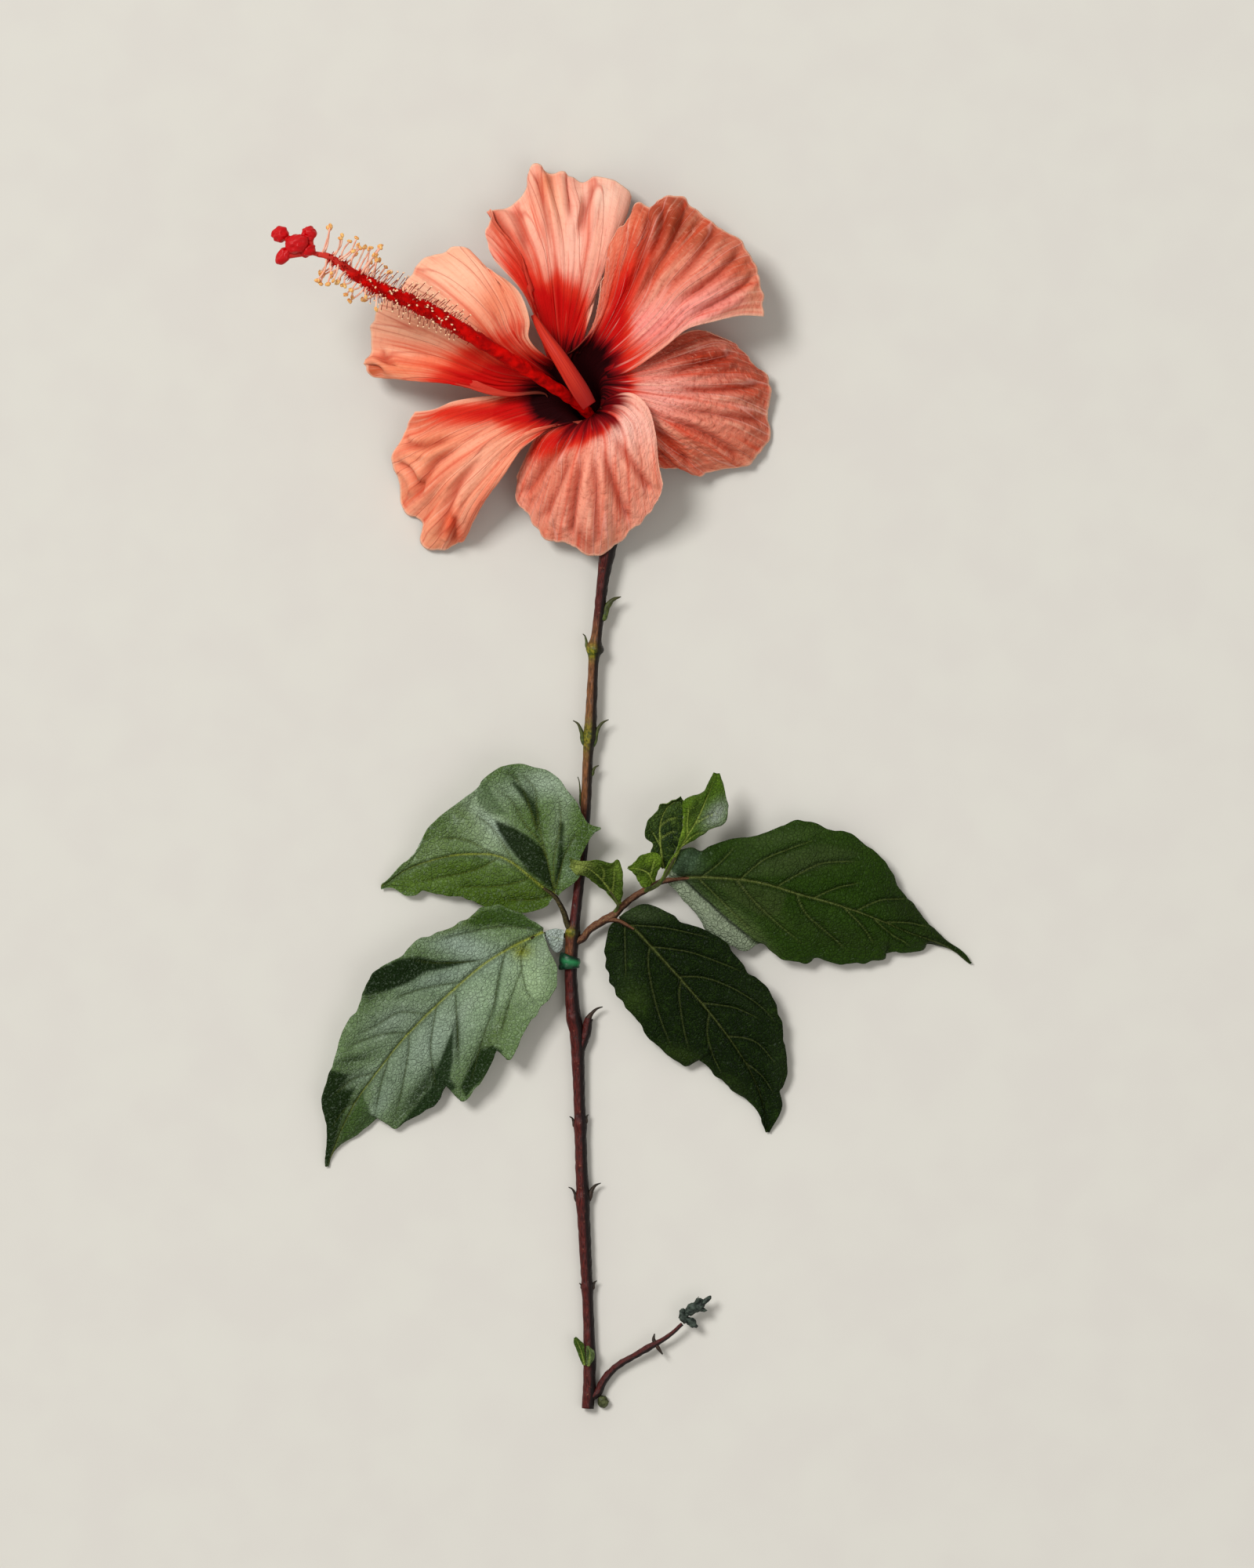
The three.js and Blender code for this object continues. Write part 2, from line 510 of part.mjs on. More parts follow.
const BUD_LEAF_RIGHT = {
  midrib: [[-11.6, -185.6], [-11.2, -183], [-11.2, -181], [-11.9, -179.2]],
  first: [[-12, -185.6], [-12.3, -183], [-12.3, -181], [-12.3, -179.3]],
  second: [[-11.2, -185.6], [-9.8, -183], [-9.9, -181], [-11.5, -179.2]],
  lifts: [[5, 5.2, 5.2, 4.9], [5.1, 5.8, 5.6, 4.9], [5, 5, 5, 4.9]],
};
const LEAF_SHEATH = {
  midrib: [[-20.4, -49.6], [-21.8, -49], [-23.6, -48.2], [-25.2, -47.6]],
  first: [[-20.2, -46.2], [-21.4, -45.8], [-23.4, -45.9], [-25.3, -46.6]],
  second: [[-20.6, -52], [-22.2, -53.4], [-23.8, -52.2], [-25.1, -49]],
  lifts: [[1.6, 2, 2.4, 2.6], [1.8, 2.2, 2.6, 2.8], [2, 2.2, 2.6, 2.8]],
};

const DRAWN_BRANCH_FOOT = vec(-13.1, -48.6, 3.6);
const BUD_LEAF_HEIGHT = 17;
const SHEATH_HEIGHT = 150;
const SHEATH_CLEARANCE = 2.5;

// A young leaf keeps its drawn place beside its anchor: the branch, or the stem.
function makeYoungLeaves() {
  const shift = branchFoot.clone().sub(DRAWN_BRANCH_FOOT);
  const young = [
    ['young_leaf_centre', YOUNG_CENTRE, COLOURS.green], ['young_leaf_small', YOUNG_SMALL, COLOURS.youngLeaf],
    ['young_leaf_dark', YOUNG_DARK, COLOURS.leaf], ['young_leaf_bright', YOUNG_BRIGHT, COLOURS.youngLeaf],
  ];
  for (const [name, leaf, colour] of young) {
    const [x, y] = leaf.midrib[0];
    addPiece(name, blade(leaf, vec(x + shift.x, y + shift.y, 0), 8, 4), colour);
  }
  const buds = [['bud_leaf_left', BUD_LEAF_LEFT], ['bud_leaf_right', BUD_LEAF_RIGHT]];
  const thicker = 2 * stemAt(BUD_LEAF_HEIGHT).radius - DRAWN_STEM_THICKNESS;
  for (const [name, leaf] of buds) {
    const [x, y] = leaf.midrib[0];
    const geometry = blade(leaf, vec(x, STEM_FOOT + (y - STEM_FOOT) * stemScale, 0), 5, 4);
    geometry.translate(0, 0, Math.max(0, thicker));
    addPiece(name, geometry, COLOURS.green);
  }
  const [x, y] = LEAF_SHEATH.midrib[0];
  const fromAxis = beside(SHEATH_HEIGHT, -1, 0).x - stemAt(SHEATH_HEIGHT).centre.x;
  const aside = fromAxis + SHEATH_CLEARANCE * girth - GAP;
  const place = vec(x + aside, STEM_FOOT + (y - STEM_FOOT) * stemScale, 0);
  addPiece('leaf_sheath', blade(LEAF_SHEATH, place, 4, 4), COLOURS.paleLeaf);
}

// ---------------------------------------------------------------- bloom
// Everything in the bloom is drawn round its own foot, where it meets the top of the stem.
function bloomPoint(x, y, z) {
  return vec(
    stemTop.centre.x + (x - bloomFoot.x) * bloomScale,
    stemTop.centre.y + (y - bloomFoot.y) * bloomScale,
    stemTop.centre.z + (z - bloomFoot.z) * bloomScale,
  );
}

// The ring is the calyx's mouth, where the petals come out.
const CALYX_DEPTH = 11;
const RING_CENTRE = bloomFoot.clone().addScaledVector(TUBE_AXIS, CALYX_DEPTH + 2 * GAP);
const TUBE_ACROSS = vec(1, 1, 0).normalize();
const TUBE_OVER = TUBE_ACROSS.clone().cross(TUBE_AXIS).normalize();
const RING_RADIUS = 4.4;
const THROAT = { x: -15, y: 127, halfWidth: 9.5, halfHeight: 11, lift: 18, lean: 4 };
const RING_TURN = 45;
const CLAW_SHARE = 0.16;

const radians = (degrees) => (degrees * Math.PI) / 180;

function lipPoint(degrees) {
  const angle = radians(degrees);
  return vec(
    THROAT.x + THROAT.halfWidth * Math.cos(angle),
    THROAT.y + THROAT.halfHeight * Math.sin(angle),
    THROAT.lift + THROAT.lean * Math.cos(radians(degrees + RING_TURN)),
  );
}

function ringPoint(degrees, radius) {
  const angle = radians(RING_TURN - degrees);
  return RING_CENTRE.clone().addScaledVector(TUBE_ACROSS, radius * Math.cos(angle))
    .addScaledVector(TUBE_OVER, radius * Math.sin(angle));
}

// lip: the stretch of the throat that a petal springs from, in degrees, clockwise.
// first and second: its side margins after the lip. tip: its rim, clockwise, which they join.
// lifts: heights of the first side, the middle and the second side at one third, two thirds and the rim.
const PETALS = {
  petal_left: {
    lip: [184, 149],
    first: [[-30, 125.3], [-36, 124.6], [-43, 127], [-50, 129.8], [-57, 131.4], [-66, 133.2]],
    tip: [[-66, 133.2], [-70.5, 130.2], [-79, 129.8], [-84.5, 134.6], [-82, 138.5], [-81, 147], [-76, 155.5],
      [-69, 162], [-59, 169.5], [-51.5, 172], [-46.5, 165], [-38, 161.4]],
    second: [[-28, 137], [-30.6, 142], [-30.2, 148], [-33, 156], [-38, 161.4]],
    lifts: [[23, 24, 17], [25, 26, 10], [26, 29, 26]],
  },
  petal_top: {
    lip: [139, 104],
    first: [[-26, 142], [-29, 150], [-33, 158], [-42, 168]],
    tip: [[-42, 168], [-44.3, 176], [-43, 180], [-45, 184.4], [-39, 186.2], [-33, 191.5], [-30.5, 198],
      [-26.5, 199.1], [-23, 196.5], [-18, 196.9], [-14, 193.2], [-9, 194.6], [-0.4, 188.8], [-7, 182],
      [-9.3, 175], [-8.4, 166]],
    second: [[-14, 143], [-11, 149], [-9, 157], [-8.4, 166]],
    lifts: [[18, 18, 15], [18, 20, 7], [17, 17, 12]],
  },
  petal_upper_right: {
    lip: [95, 26],
    first: [[-10.5, 145], [-8.6, 152], [-7.6, 160]],
    tip: [[-7.6, 160], [-3, 167.4], [-5.4, 171.4], [-1, 177], [3, 182], [5, 185.8], [9.6, 182.6], [13, 187.8],
      [18, 188.2], [22, 187], [28, 180], [36, 173.6], [40.3, 169], [45.2, 158], [43.8, 149.4]],
    second: [[1, 134], [7, 136.4], [13, 139.6], [20, 145], [29, 147.6], [37, 149.4], [43.8, 149.4]],
    lifts: [[22, 23, 24], [26, 27, 19], [27, 27, 20]],
  },
  petal_right: {
    lip: [18, -27],
    first: [[2, 134.6], [12, 140.6], [22, 145.2], [30, 143.5]],
    tip: [[30, 143.5], [37, 140], [42, 134.5], [46, 130.6], [48, 118], [45.5, 109.5], [42, 105.6], [36.3, 101.7],
      [25, 98], [18.5, 101], [10, 101.8], [5, 104]],
    second: [[-3, 117.4], [0, 110.6], [5, 104]],
    lifts: [[22, 19, 15], [22, 17, 3], [20.5, 19.5, 17]],
  },
  petal_bottom: {
    lip: [-36, -85],
    first: [[-3, 122.4], [3, 123], [7.6, 120], [9.8, 112], [10.8, 103], [12.2, 96]],
    tip: [[12.2, 96], [10.4, 90.6], [3, 81.5], [-4, 76.3], [-11, 74.4], [-17, 77], [-24, 78.5], [-29, 84],
      [-34.5, 92.5], [-34.5, 99]],
    second: [[-20, 115.4], [-27, 113.4], [-30, 108], [-34.5, 99]],
    lifts: [[26.5, 26, 23], [26, 22, 8], [16.2, 13.8, 11]],
  },
  petal_lower_left: {
    lip: [257, 197],
    first: [[-22, 114.6], [-28, 113.6], [-33, 109.4], [-37.5, 105.5], [-41, 99]],
    tip: [[-41, 99], [-49, 93.5], [-53.3, 85], [-52.3, 79], [-57, 76.1], [-63, 77.5], [-64.6, 84], [-70, 88],
      [-73.6, 95], [-75, 103], [-71.5, 113], [-67.6, 119.3]],
    second: [[-32, 124.6], [-43, 124.2], [-54, 122.6], [-61, 120], [-67.6, 119.3]],
    lifts: [[20, 19, 16], [20, 17, 1], [17, 17, 12]],
  },
};

function petalSurface({ lip, first, tip, second, lifts }) {
  const lipAngle = (v) => lip[0] + (lip[1] - lip[0]) * v;
  const flatLip = (v) => {
    const point = lipPoint(lipAngle(v));
    return new THREE.Vector2(point.x, point.y);
  };
  const firstSide = flatCurve([flatLip(0).toArray(), ...first]);
  const secondSide = flatCurve([flatLip(1).toArray(), ...second]);
  const rim = flatCurve(tip);

  // The blade fills its four edges: the lip, both sides and the rim.
  const bladePoint = (u, v) => {
    const between = firstSide.getPointAt(u).lerp(secondSide.getPointAt(u), v);
    const along = flatLip(v).lerp(rim.getPointAt(v), u);
    const corners = flatLip(0).lerp(flatLip(1), v).lerp(rim.getPointAt(0).lerp(rim.getPointAt(1), v), u);
    const flat = between.add(along).sub(corners);
    const lipLift = lipPoint(lipAngle(v)).z;
    const lift = throughThree(lifts.map((row) => throughFour([lipLift, ...row], u)), v);
    return bloomPoint(flat.x, flat.y, lift);
  };
  // The claw runs from the ring in the calyx's mouth to the lip, and turns out into the blade.
  const clawPoint = (share, v) => {
    const [a, d] = [ringPoint(lipAngle(v), RING_RADIUS), bladePoint(0, v)];
    const outward = bladePoint(0.02, v).sub(d).normalize();
    const ring = bloomPoint(a.x, a.y, a.z);
    const reach = ring.distanceTo(d) / 3;
    const b = ring.clone().addScaledVector(TUBE_AXIS, reach);
    const c = d.clone().addScaledVector(outward, -reach);
    return new THREE.CubicBezierCurve3(ring, b, c, d).getPoint(share);
  };
  return (u, v) => (u < CLAW_SHARE
    ? clawPoint(u / CLAW_SHARE, v)
    : bladePoint((u - CLAW_SHARE) / (1 - CLAW_SHARE), v));
}

function makePetals() {
  const clawRows = evenly(3).slice(0, -1).map((t) => t * CLAW_SHARE);
  const bladeRows = evenly(8).map((t) => CLAW_SHARE + (1 - CLAW_SHARE) * t);
  const rows = [...clawRows, ...bladeRows];
  for (const [name, petal] of Object.entries(PETALS)) {
    addPiece(name, skin(petalSurface(petal), rows, evenly(15), PETAL_THICKNESS), COLOURS.petal);
  }
}

// The strip's two edges, from its narrow upper end to its foot in the throat.
const STRIP = {
  first: [[-29.6, 149.4], [-27.2, 143.4], [-24.1, 137.4], [-20.2, 130.6], [-16.6, 124.4], [-13, 119.4]],
  second: [[-28.4, 149.6], [-24, 143.6], [-19.2, 137.5], [-14.6, 131], [-11.6, 126.4], [-9.4, 122]],
  lifts: [24, 31, 31, 27.5],
  bulge: 1.2,
};

function makeStrip() {
  const [one, two] = [STRIP.first, STRIP.second].map(flatCurve);
  const surface = (u, v) => {
    const flat = one.getPointAt(u).lerp(two.getPointAt(u), v);
    return bloomPoint(flat.x, flat.y, throughFour(STRIP.lifts, u) + STRIP.bulge * 4 * v * (1 - v));
  };
  addPiece('petaloid_strip', skin(surface, evenly(10), evenly(4), STRIP_THICKNESS), COLOURS.redPetal);
}

// ---------------------------------------------------------------- calyx and epicalyx
// Heights run along the tube from the ring where the petals meet, which is zero.
const CALYX_WALL = 0.8;
const CALYX_FOOT_RADIUS = 2.4;
const CALYX_NECK = 3.2;
const NECK_SHARE = 0.82;
const CALYX_SHOULDER = 1.5;
const CALYX_RIM = 0.4;
const CALYX_FLARE = 0.35;
const CALYX_LOBES = 5;
const CALYX_LOBE_HEIGHT = 4.5;
const CLAW_ROOM = 1.1;
const EPICALYX_WALL = 0.9;
const EPICALYX_FLARE = 0.5;
const EPICALYX_RIM = -3.2;
const EPICALYX_LOBES = 7;
const EPICALYX_LOBE_HEIGHT = 3.2;

function alongTube(geometry, distance) {
  const turn = new THREE.Quaternion().setFromUnitVectors(vec(0, 1, 0), TUBE_AXIS);
  geometry.applyQuaternion(turn);
  const base = bloomPoint(RING_CENTRE.x, RING_CENTRE.y, RING_CENTRE.z).addScaledVector(TUBE_AXIS, distance);
  geometry.translate(base.x, base.y, base.z);
  return geometry;
}

// A cup round the tube: its rim rises into pointed lobes.
function lobedCup(profile, rimFrom, lobes, lobeHeight, sides) {
  const geometry = new THREE.LatheGeometry(profile.map(([x, y]) => new THREE.Vector2(x, y)), sides);
  const position = geometry.attributes.position;
  for (let i = 0; i < position.count; i += 1) {
    const [x, y, z] = [position.getX(i), position.getY(i), position.getZ(i)];
    if (y < rimFrom) continue;
    const lobe = Math.abs(Math.cos((lobes * Math.atan2(z, x)) / 2));
    position.setY(i, y + lobeHeight * lobe);
  }
  return geometry;
}

function makeCalyx() {
  const inner = (RING_RADIUS + CLAW_ROOM) * bloomScale + PETAL_THICKNESS / 2 + GAP;
  const outer = inner + CALYX_WALL;
  const foot = -CALYX_DEPTH * bloomScale;
  const neck = foot + CALYX_NECK * bloomScale;
  const cup = lobedCup([
    [0, foot], [CALYX_FOOT_RADIUS * bloomScale, foot], [outer * NECK_SHARE, neck], [outer, -CALYX_SHOULDER],
    [outer + CALYX_FLARE, CALYX_RIM], [inner + CALYX_FLARE, CALYX_RIM], [inner, -CALYX_SHOULDER],
    [inner * NECK_SHARE, neck + CALYX_WALL], [0, foot + CALYX_WALL * 2],
  ], 0, CALYX_LOBES, CALYX_LOBE_HEIGHT * bloomScale, 20);
  addPiece('calyx', alongTube(cup, 0), COLOURS.calyx);

  const shell = outer * NECK_SHARE + GAP;
  const rim = outer + GAP + EPICALYX_FLARE;
  const ring = lobedCup([
    [shell, neck], [shell + EPICALYX_WALL, neck], [rim + EPICALYX_WALL, EPICALYX_RIM], [rim, EPICALYX_RIM],
    [shell, neck],
  ], EPICALYX_RIM - GAP, EPICALYX_LOBES, EPICALYX_LOBE_HEIGHT * bloomScale, 28);
  addPiece('epicalyx', alongTube(ring, 0), COLOURS.calyx);
}

// ---------------------------------------------------------------- staminal column and style
const COLUMN_PATH = [
  [-6, 113, 12], [-9.6, 116.6, 14.6], [-13.6, 120.6, 18.6], [-20, 125, 25], [-28, 130, 32], [-35, 134.3, 36.5],
  [-46.8, 141.4, 41], [-58, 148, 45], [-67.5, 152.7, 48], [-76.4, 156.3, 50.5], [-84, 160.4, 52.5],
  [-92, 166, 54.5], [-96.6, 167.4, 55.5],
];
const COLUMN_RADIUS = 1.5;
const COLUMN_TIP_RADIUS = 0.8;
const STAMENS = 22;
const STAMEN_ZONE = [0.6, 0.99];
const GOLDEN_ANGLE = 2.39996;
const FILAMENT_LENGTH = 7;
const FILAMENT_SPREAD = 3;
const FILAMENT_RHYTHM = 1.7;
const FILAMENT_LEAN = 0.35;
const FILAMENT_RADIUS = 0.3;
const ANTHER_RADIUS = 0.85;

const columnCurve = spaceCurve(COLUMN_PATH.map(([x, y, z]) => bloomPoint(x, y, z)));

function makeColumn() {
  const pieces = [rod(columnCurve, taper(COLUMN_RADIUS, COLUMN_TIP_RADIUS), 22, 8)];
  for (let i = 0; i < STAMENS; i += 1) {
    const t = STAMEN_ZONE[0] + ((STAMEN_ZONE[1] - STAMEN_ZONE[0]) * (i + 0.5)) / STAMENS;
    const start = columnCurve.getPointAt(t);
    const forward = columnCurve.getTangentAt(t);
    const side = forward.clone().cross(vec(0, 0, 1)).normalize();
    const lift = side.clone().cross(forward);
    const angle = i * GOLDEN_ANGLE;
    const out = side.multiplyScalar(Math.cos(angle)).addScaledVector(lift, Math.sin(angle));
    const length = (FILAMENT_LENGTH + FILAMENT_SPREAD * Math.sin(i * FILAMENT_RHYTHM)) * bloomScale;
    const end = start.clone().addScaledVector(out, length).addScaledVector(forward, length * FILAMENT_LEAN);
    pieces.push(rod(new THREE.LineCurve3(start, end), () => FILAMENT_RADIUS, 1, 3));
    const anther = new THREE.OctahedronGeometry(ANTHER_RADIUS);
    anther.translate(end.x, end.y, end.z);
    pieces.push(anther);
  }
  addPiece('staminal_column', fuse(pieces), COLOURS.column);
}

const STIGMA_PADS = [
  [-108.5, 173.6, 57], [-102.9, 170.4, 59], [-99.4, 173.6, 57.5], [-107.1, 166.7, 57], [-100.2, 168.4, 57.5],
];
const STIGMA_RADIUS = 2.4;
const STIGMA_FLATNESS = 0.8;
const STYLE_RADIUS = 0.6;
const STYLE_FORK = 2;

function makeStyle() {
  const end = columnCurve.getPointAt(1);
  const onward = columnCurve.getTangentAt(1);
  const foot = end.clone().addScaledVector(onward, GAP);
  const fork = foot.clone().addScaledVector(onward, STYLE_FORK);
  const root = foot.clone().addScaledVector(onward, STYLE_FORK - STYLE_RADIUS);
  const pieces = [rod(new THREE.LineCurve3(foot, fork), () => STYLE_RADIUS, 1, 6)];
  for (const [x, y, z] of STIGMA_PADS) {
    const pad = bloomPoint(x, y, z);
    pieces.push(rod(new THREE.LineCurve3(root, pad), () => STYLE_RADIUS, 1, 5));
    pieces.push(bud(pad, [STIGMA_RADIUS, STIGMA_RADIUS, STIGMA_RADIUS * STIGMA_FLATNESS], 0));
  }
  addPiece('style', fuse(pieces), COLOURS.stigma);
}

// ---------------------------------------------------------------- assembly
makeStem();
makeCollar();
makeStipules();
makeBranch();
makeTwig();
makeBaseBud();
makeLeaves();
makeYoungLeaves();
makeCalyx();
makePetals();
makeStrip();
makeColumn();
makeStyle();

// The origin is the middle of the bottom of the whole plant's box.
const box = new THREE.Box3().setFromObject(group, true);
const middle = box.getCenter(vec(0, 0, 0));
group.position.set(-middle.x, -middle.y, -box.min.z);

export default group;
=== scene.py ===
# The looks of a cut hibiscus stem lying on its back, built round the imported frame.
import math

import bpy
import numpy as np
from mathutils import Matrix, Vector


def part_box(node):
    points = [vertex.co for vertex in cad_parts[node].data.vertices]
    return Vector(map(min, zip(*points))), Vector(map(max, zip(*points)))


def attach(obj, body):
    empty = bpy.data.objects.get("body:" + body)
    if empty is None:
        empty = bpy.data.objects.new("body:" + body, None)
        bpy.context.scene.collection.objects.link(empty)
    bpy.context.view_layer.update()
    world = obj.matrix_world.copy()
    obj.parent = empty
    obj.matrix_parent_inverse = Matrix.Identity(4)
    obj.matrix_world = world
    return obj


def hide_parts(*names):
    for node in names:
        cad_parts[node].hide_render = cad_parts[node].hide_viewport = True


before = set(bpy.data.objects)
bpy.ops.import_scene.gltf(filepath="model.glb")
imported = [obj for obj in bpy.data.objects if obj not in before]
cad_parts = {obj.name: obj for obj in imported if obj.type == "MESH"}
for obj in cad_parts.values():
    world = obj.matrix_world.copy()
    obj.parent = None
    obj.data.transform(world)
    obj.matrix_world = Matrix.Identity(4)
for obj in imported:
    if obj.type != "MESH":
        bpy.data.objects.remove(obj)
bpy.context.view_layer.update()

MM = 0.001

# The plant is drawn in millimetres in its own plane, as the frame is: x to the right, y up the stem.
# The base bud's middle and the stem's foot say where that drawing lies in the frame.
DRAWN_BUD_X = -6.95
DRAWN_FOOT_Y = -199.4
bud_low, bud_high = (np.array(corner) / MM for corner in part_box("base_bud"))
stem_low = np.array(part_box("main_stem")[0]) / MM
SHIFT = np.array([(bud_low[0] + bud_high[0]) / 2 - DRAWN_BUD_X, stem_low[1] - DRAWN_FOOT_Y, 0.0])


# ---------------------------------------------------------------- curves and noise
def catmull_rom(points, per_span=24):
    """Dense points on the smooth curve through the given points."""
    p = np.array(points, float)
    ends = np.vstack([p[0], p, p[-1]])
    t = np.linspace(0, 1, per_span, endpoint=False)[:, None]
    spans = []
    for a, b, c, d in zip(ends[:-3], ends[1:-2], ends[2:-1], ends[3:]):
        slope_b, slope_c = (c - a) / 2, (d - b) / 2
        spans.append((2 * b - 2 * c + slope_b + slope_c) * t**3
                     + (-3 * b + 3 * c - 2 * slope_b - slope_c) * t**2 + slope_b * t + b)
    return np.vstack(spans + [p[-1:]])


class Curve:
    """A smooth curve through points, read by the share of its length."""

    def __init__(self, points):
        self.points = catmull_rom(points)
        steps = np.linalg.norm(np.diff(self.points, axis=0), axis=1)
        self.share = np.concatenate([[0], np.cumsum(steps)]) / steps.sum()
        self.length = steps.sum()

    def at(self, t):
        t = np.clip(t, 0, 1)
        return np.stack([np.interp(t, self.share, column) for column in self.points.T], axis=-1)


def smooth_rows(rows, x):
    """Smooth values at x through rows of [x, value, value, ...]."""
    rows = np.array(rows, float)
    dense = catmull_rom(rows)
    return np.stack([np.interp(x, dense[:, 0], column) for column in dense.T[1:]], axis=-1)


def through_three(values, t):
    a, b, c = values
    return a * (1 - t) * (1 - 2 * t) + b * 4 * t * (1 - t) + c * t * (2 * t - 1)


def through_four(values, t):
    a, b, c, d = values
    s = 3 * t
    return (a * (1 - s) * (2 - s) * (3 - s) / 6 + b * s * (2 - s) * (3 - s) / 2
            + c * s * (s - 1) * (3 - s) / 2 + d * s * (s - 1) * (s - 2) / 6)


def ease(low, high, x):
    t = np.clip((x - low) / (high - low), 0, 1)
    return t * t * (3 - 2 * t)


NOISE_CELLS = 64


def noise(x, y, seed):
    """Smooth noise from -1 to 1, one bump about one unit wide."""
    table = np.random.default_rng(seed).uniform(-1, 1, (NOISE_CELLS, NOISE_CELLS))
    xi, yi = np.floor(x).astype(int), np.floor(y).astype(int)
    fx, fy = x - xi, y - yi
    fx, fy = fx * fx * (3 - 2 * fx), fy * fy * (3 - 2 * fy)
    corner = lambda i, j: table[(xi + i) % NOISE_CELLS, (yi + j) % NOISE_CELLS]
    return ((corner(0, 0) * (1 - fx) + corner(1, 0) * fx) * (1 - fy)
            + (corner(0, 1) * (1 - fx) + corner(1, 1) * fx) * fy)


def spots(flat, rows):
    """Soft patches on the plant's plane, each [x, y, half length, half width, turn in degrees, strength]."""
    total = np.zeros(flat.shape[:-1])
    for x, y, long, wide, turn, strength in rows:
        angle = math.radians(turn)
        dx, dy = flat[..., 0] - x, flat[..., 1] - y
        along = (dx * math.cos(angle) + dy * math.sin(angle)) / long
        across = (-dx * math.sin(angle) + dy * math.cos(angle)) / wide
        total += strength * np.exp(-(along**2 + across**2))
    return np.clip(total, 0, 1)


def paint(flat, base, rows):
    """Linear colours from a base and soft patches [x, y, half length, half width, turn, strength, colour]."""
    tone = np.broadcast_to(np.array(rgb(*base)[:3]), flat.shape[:-1] + (3,)).copy()
    for *place, colour in rows:
        share = spots(flat, [place])[..., None]
        tone = tone * (1 - share) + np.array(rgb(*colour)[:3]) * share
    return tone


FAR = 1e9
TINY = 1e-9


def segment_gap(flat, a, b):
    """Distance on the plant's plane to the straight line from a to b, and the share along it."""
    run = b - a
    s = np.clip(((flat - a) @ run) / (run @ run + TINY), 0, 1)
    return np.linalg.norm(flat - a - s[..., None] * run, axis=-1), s


def inside(flat, outline, feather=0.8):
    """1 inside a closed outline on the plant's plane, 0 outside, with a soft edge."""
    ring = np.array([*outline, outline[0]], float)
    gap = np.full(flat.shape[:-1], FAR)
    within = np.zeros(flat.shape[:-1], bool)
    for a, b in zip(ring[:-1], ring[1:]):
        run = b - a
        gap = np.minimum(gap, segment_gap(flat, a, b)[0])
        crosses = (a[1] > flat[..., 1]) != (b[1] > flat[..., 1])
        where = a[0] + (flat[..., 1] - a[1]) * run[0] / (run[1] if run[1] else TINY)
        within ^= crosses & (flat[..., 0] < where)
    return ease(-feather * 0.4, feather, np.where(within, gap, -gap))


def distance_to(flat, line):
    """Distance on the plant's plane to a smooth line, and the share of the line where it is nearest."""
    pieces = 59
    p = Curve(line).at(np.linspace(0, 1, pieces + 1))[:, :2]
    best = np.full(flat.shape[:-1], FAR)
    where = np.zeros(flat.shape[:-1])
    for k in range(pieces):
        gap, s = segment_gap(flat, p[k], p[k + 1])
        closer = gap < best
        best = np.where(closer, gap, best)
        where = np.where(closer, (k + s) / pieces, where)
    return best, where


def unit_rows(vectors):
    """The same vectors at length one; one of no length stays so."""
    return vectors / (np.linalg.norm(vectors, axis=-1, keepdims=True) + TINY)


# ---------------------------------------------------------------- meshes
def new_object(name, points, faces, material, attributes=None, bake=None):
    """A smooth mesh piece, given in drawn millimetres, that rides on the one body."""
    mesh = bpy.data.meshes.new(name)
    world = (np.asarray(points) + SHIFT) * MM
    world[:, 2] = np.maximum(world[:, 2], 0)
    mesh.from_pydata(world.tolist(), [], [list(map(int, face)) for face in faces])
    mesh.polygons.foreach_set("use_smooth", [True] * len(mesh.polygons))
    for key, values in (attributes or {}).items():
        values = np.asarray(values, np.float32)
        if values.ndim == 2 and values.shape[1] == 3:
            layer = mesh.attributes.new(key, "FLOAT_COLOR", "POINT")
            opaque = np.column_stack([values, np.ones(len(values))])
            layer.data.foreach_set("color", opaque.astype(np.float32).ravel())
        else:
            layer = mesh.attributes.new(key, "FLOAT", "POINT")
            layer.data.foreach_set("value", values.ravel())
    if bake is not None:
        layer = mesh.uv_layers.new(name="OFBake")
        corners = np.empty(len(mesh.loops), int)
        mesh.loops.foreach_get("vertex_index", corners)
        layer.data.foreach_set("uv", np.asarray(bake, np.float32)[corners].ravel())
    mesh.materials.append(material)
    piece = bpy.data.objects.new(name, mesh)
    bpy.context.scene.collection.objects.link(piece)
    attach(piece, "root")
    return piece


def finish_piece(piece, replaces=None):
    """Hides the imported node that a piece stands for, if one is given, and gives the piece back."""
    if replaces:
        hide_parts(replaces)
    return piece


def normals_of(grid):
    return unit_rows(np.cross(np.gradient(grid, axis=0), np.gradient(grid, axis=1)))


def upward_normals(grid):
    normal = normals_of(grid)
    return normal if normal[..., 2].sum() >= 0 else -normal


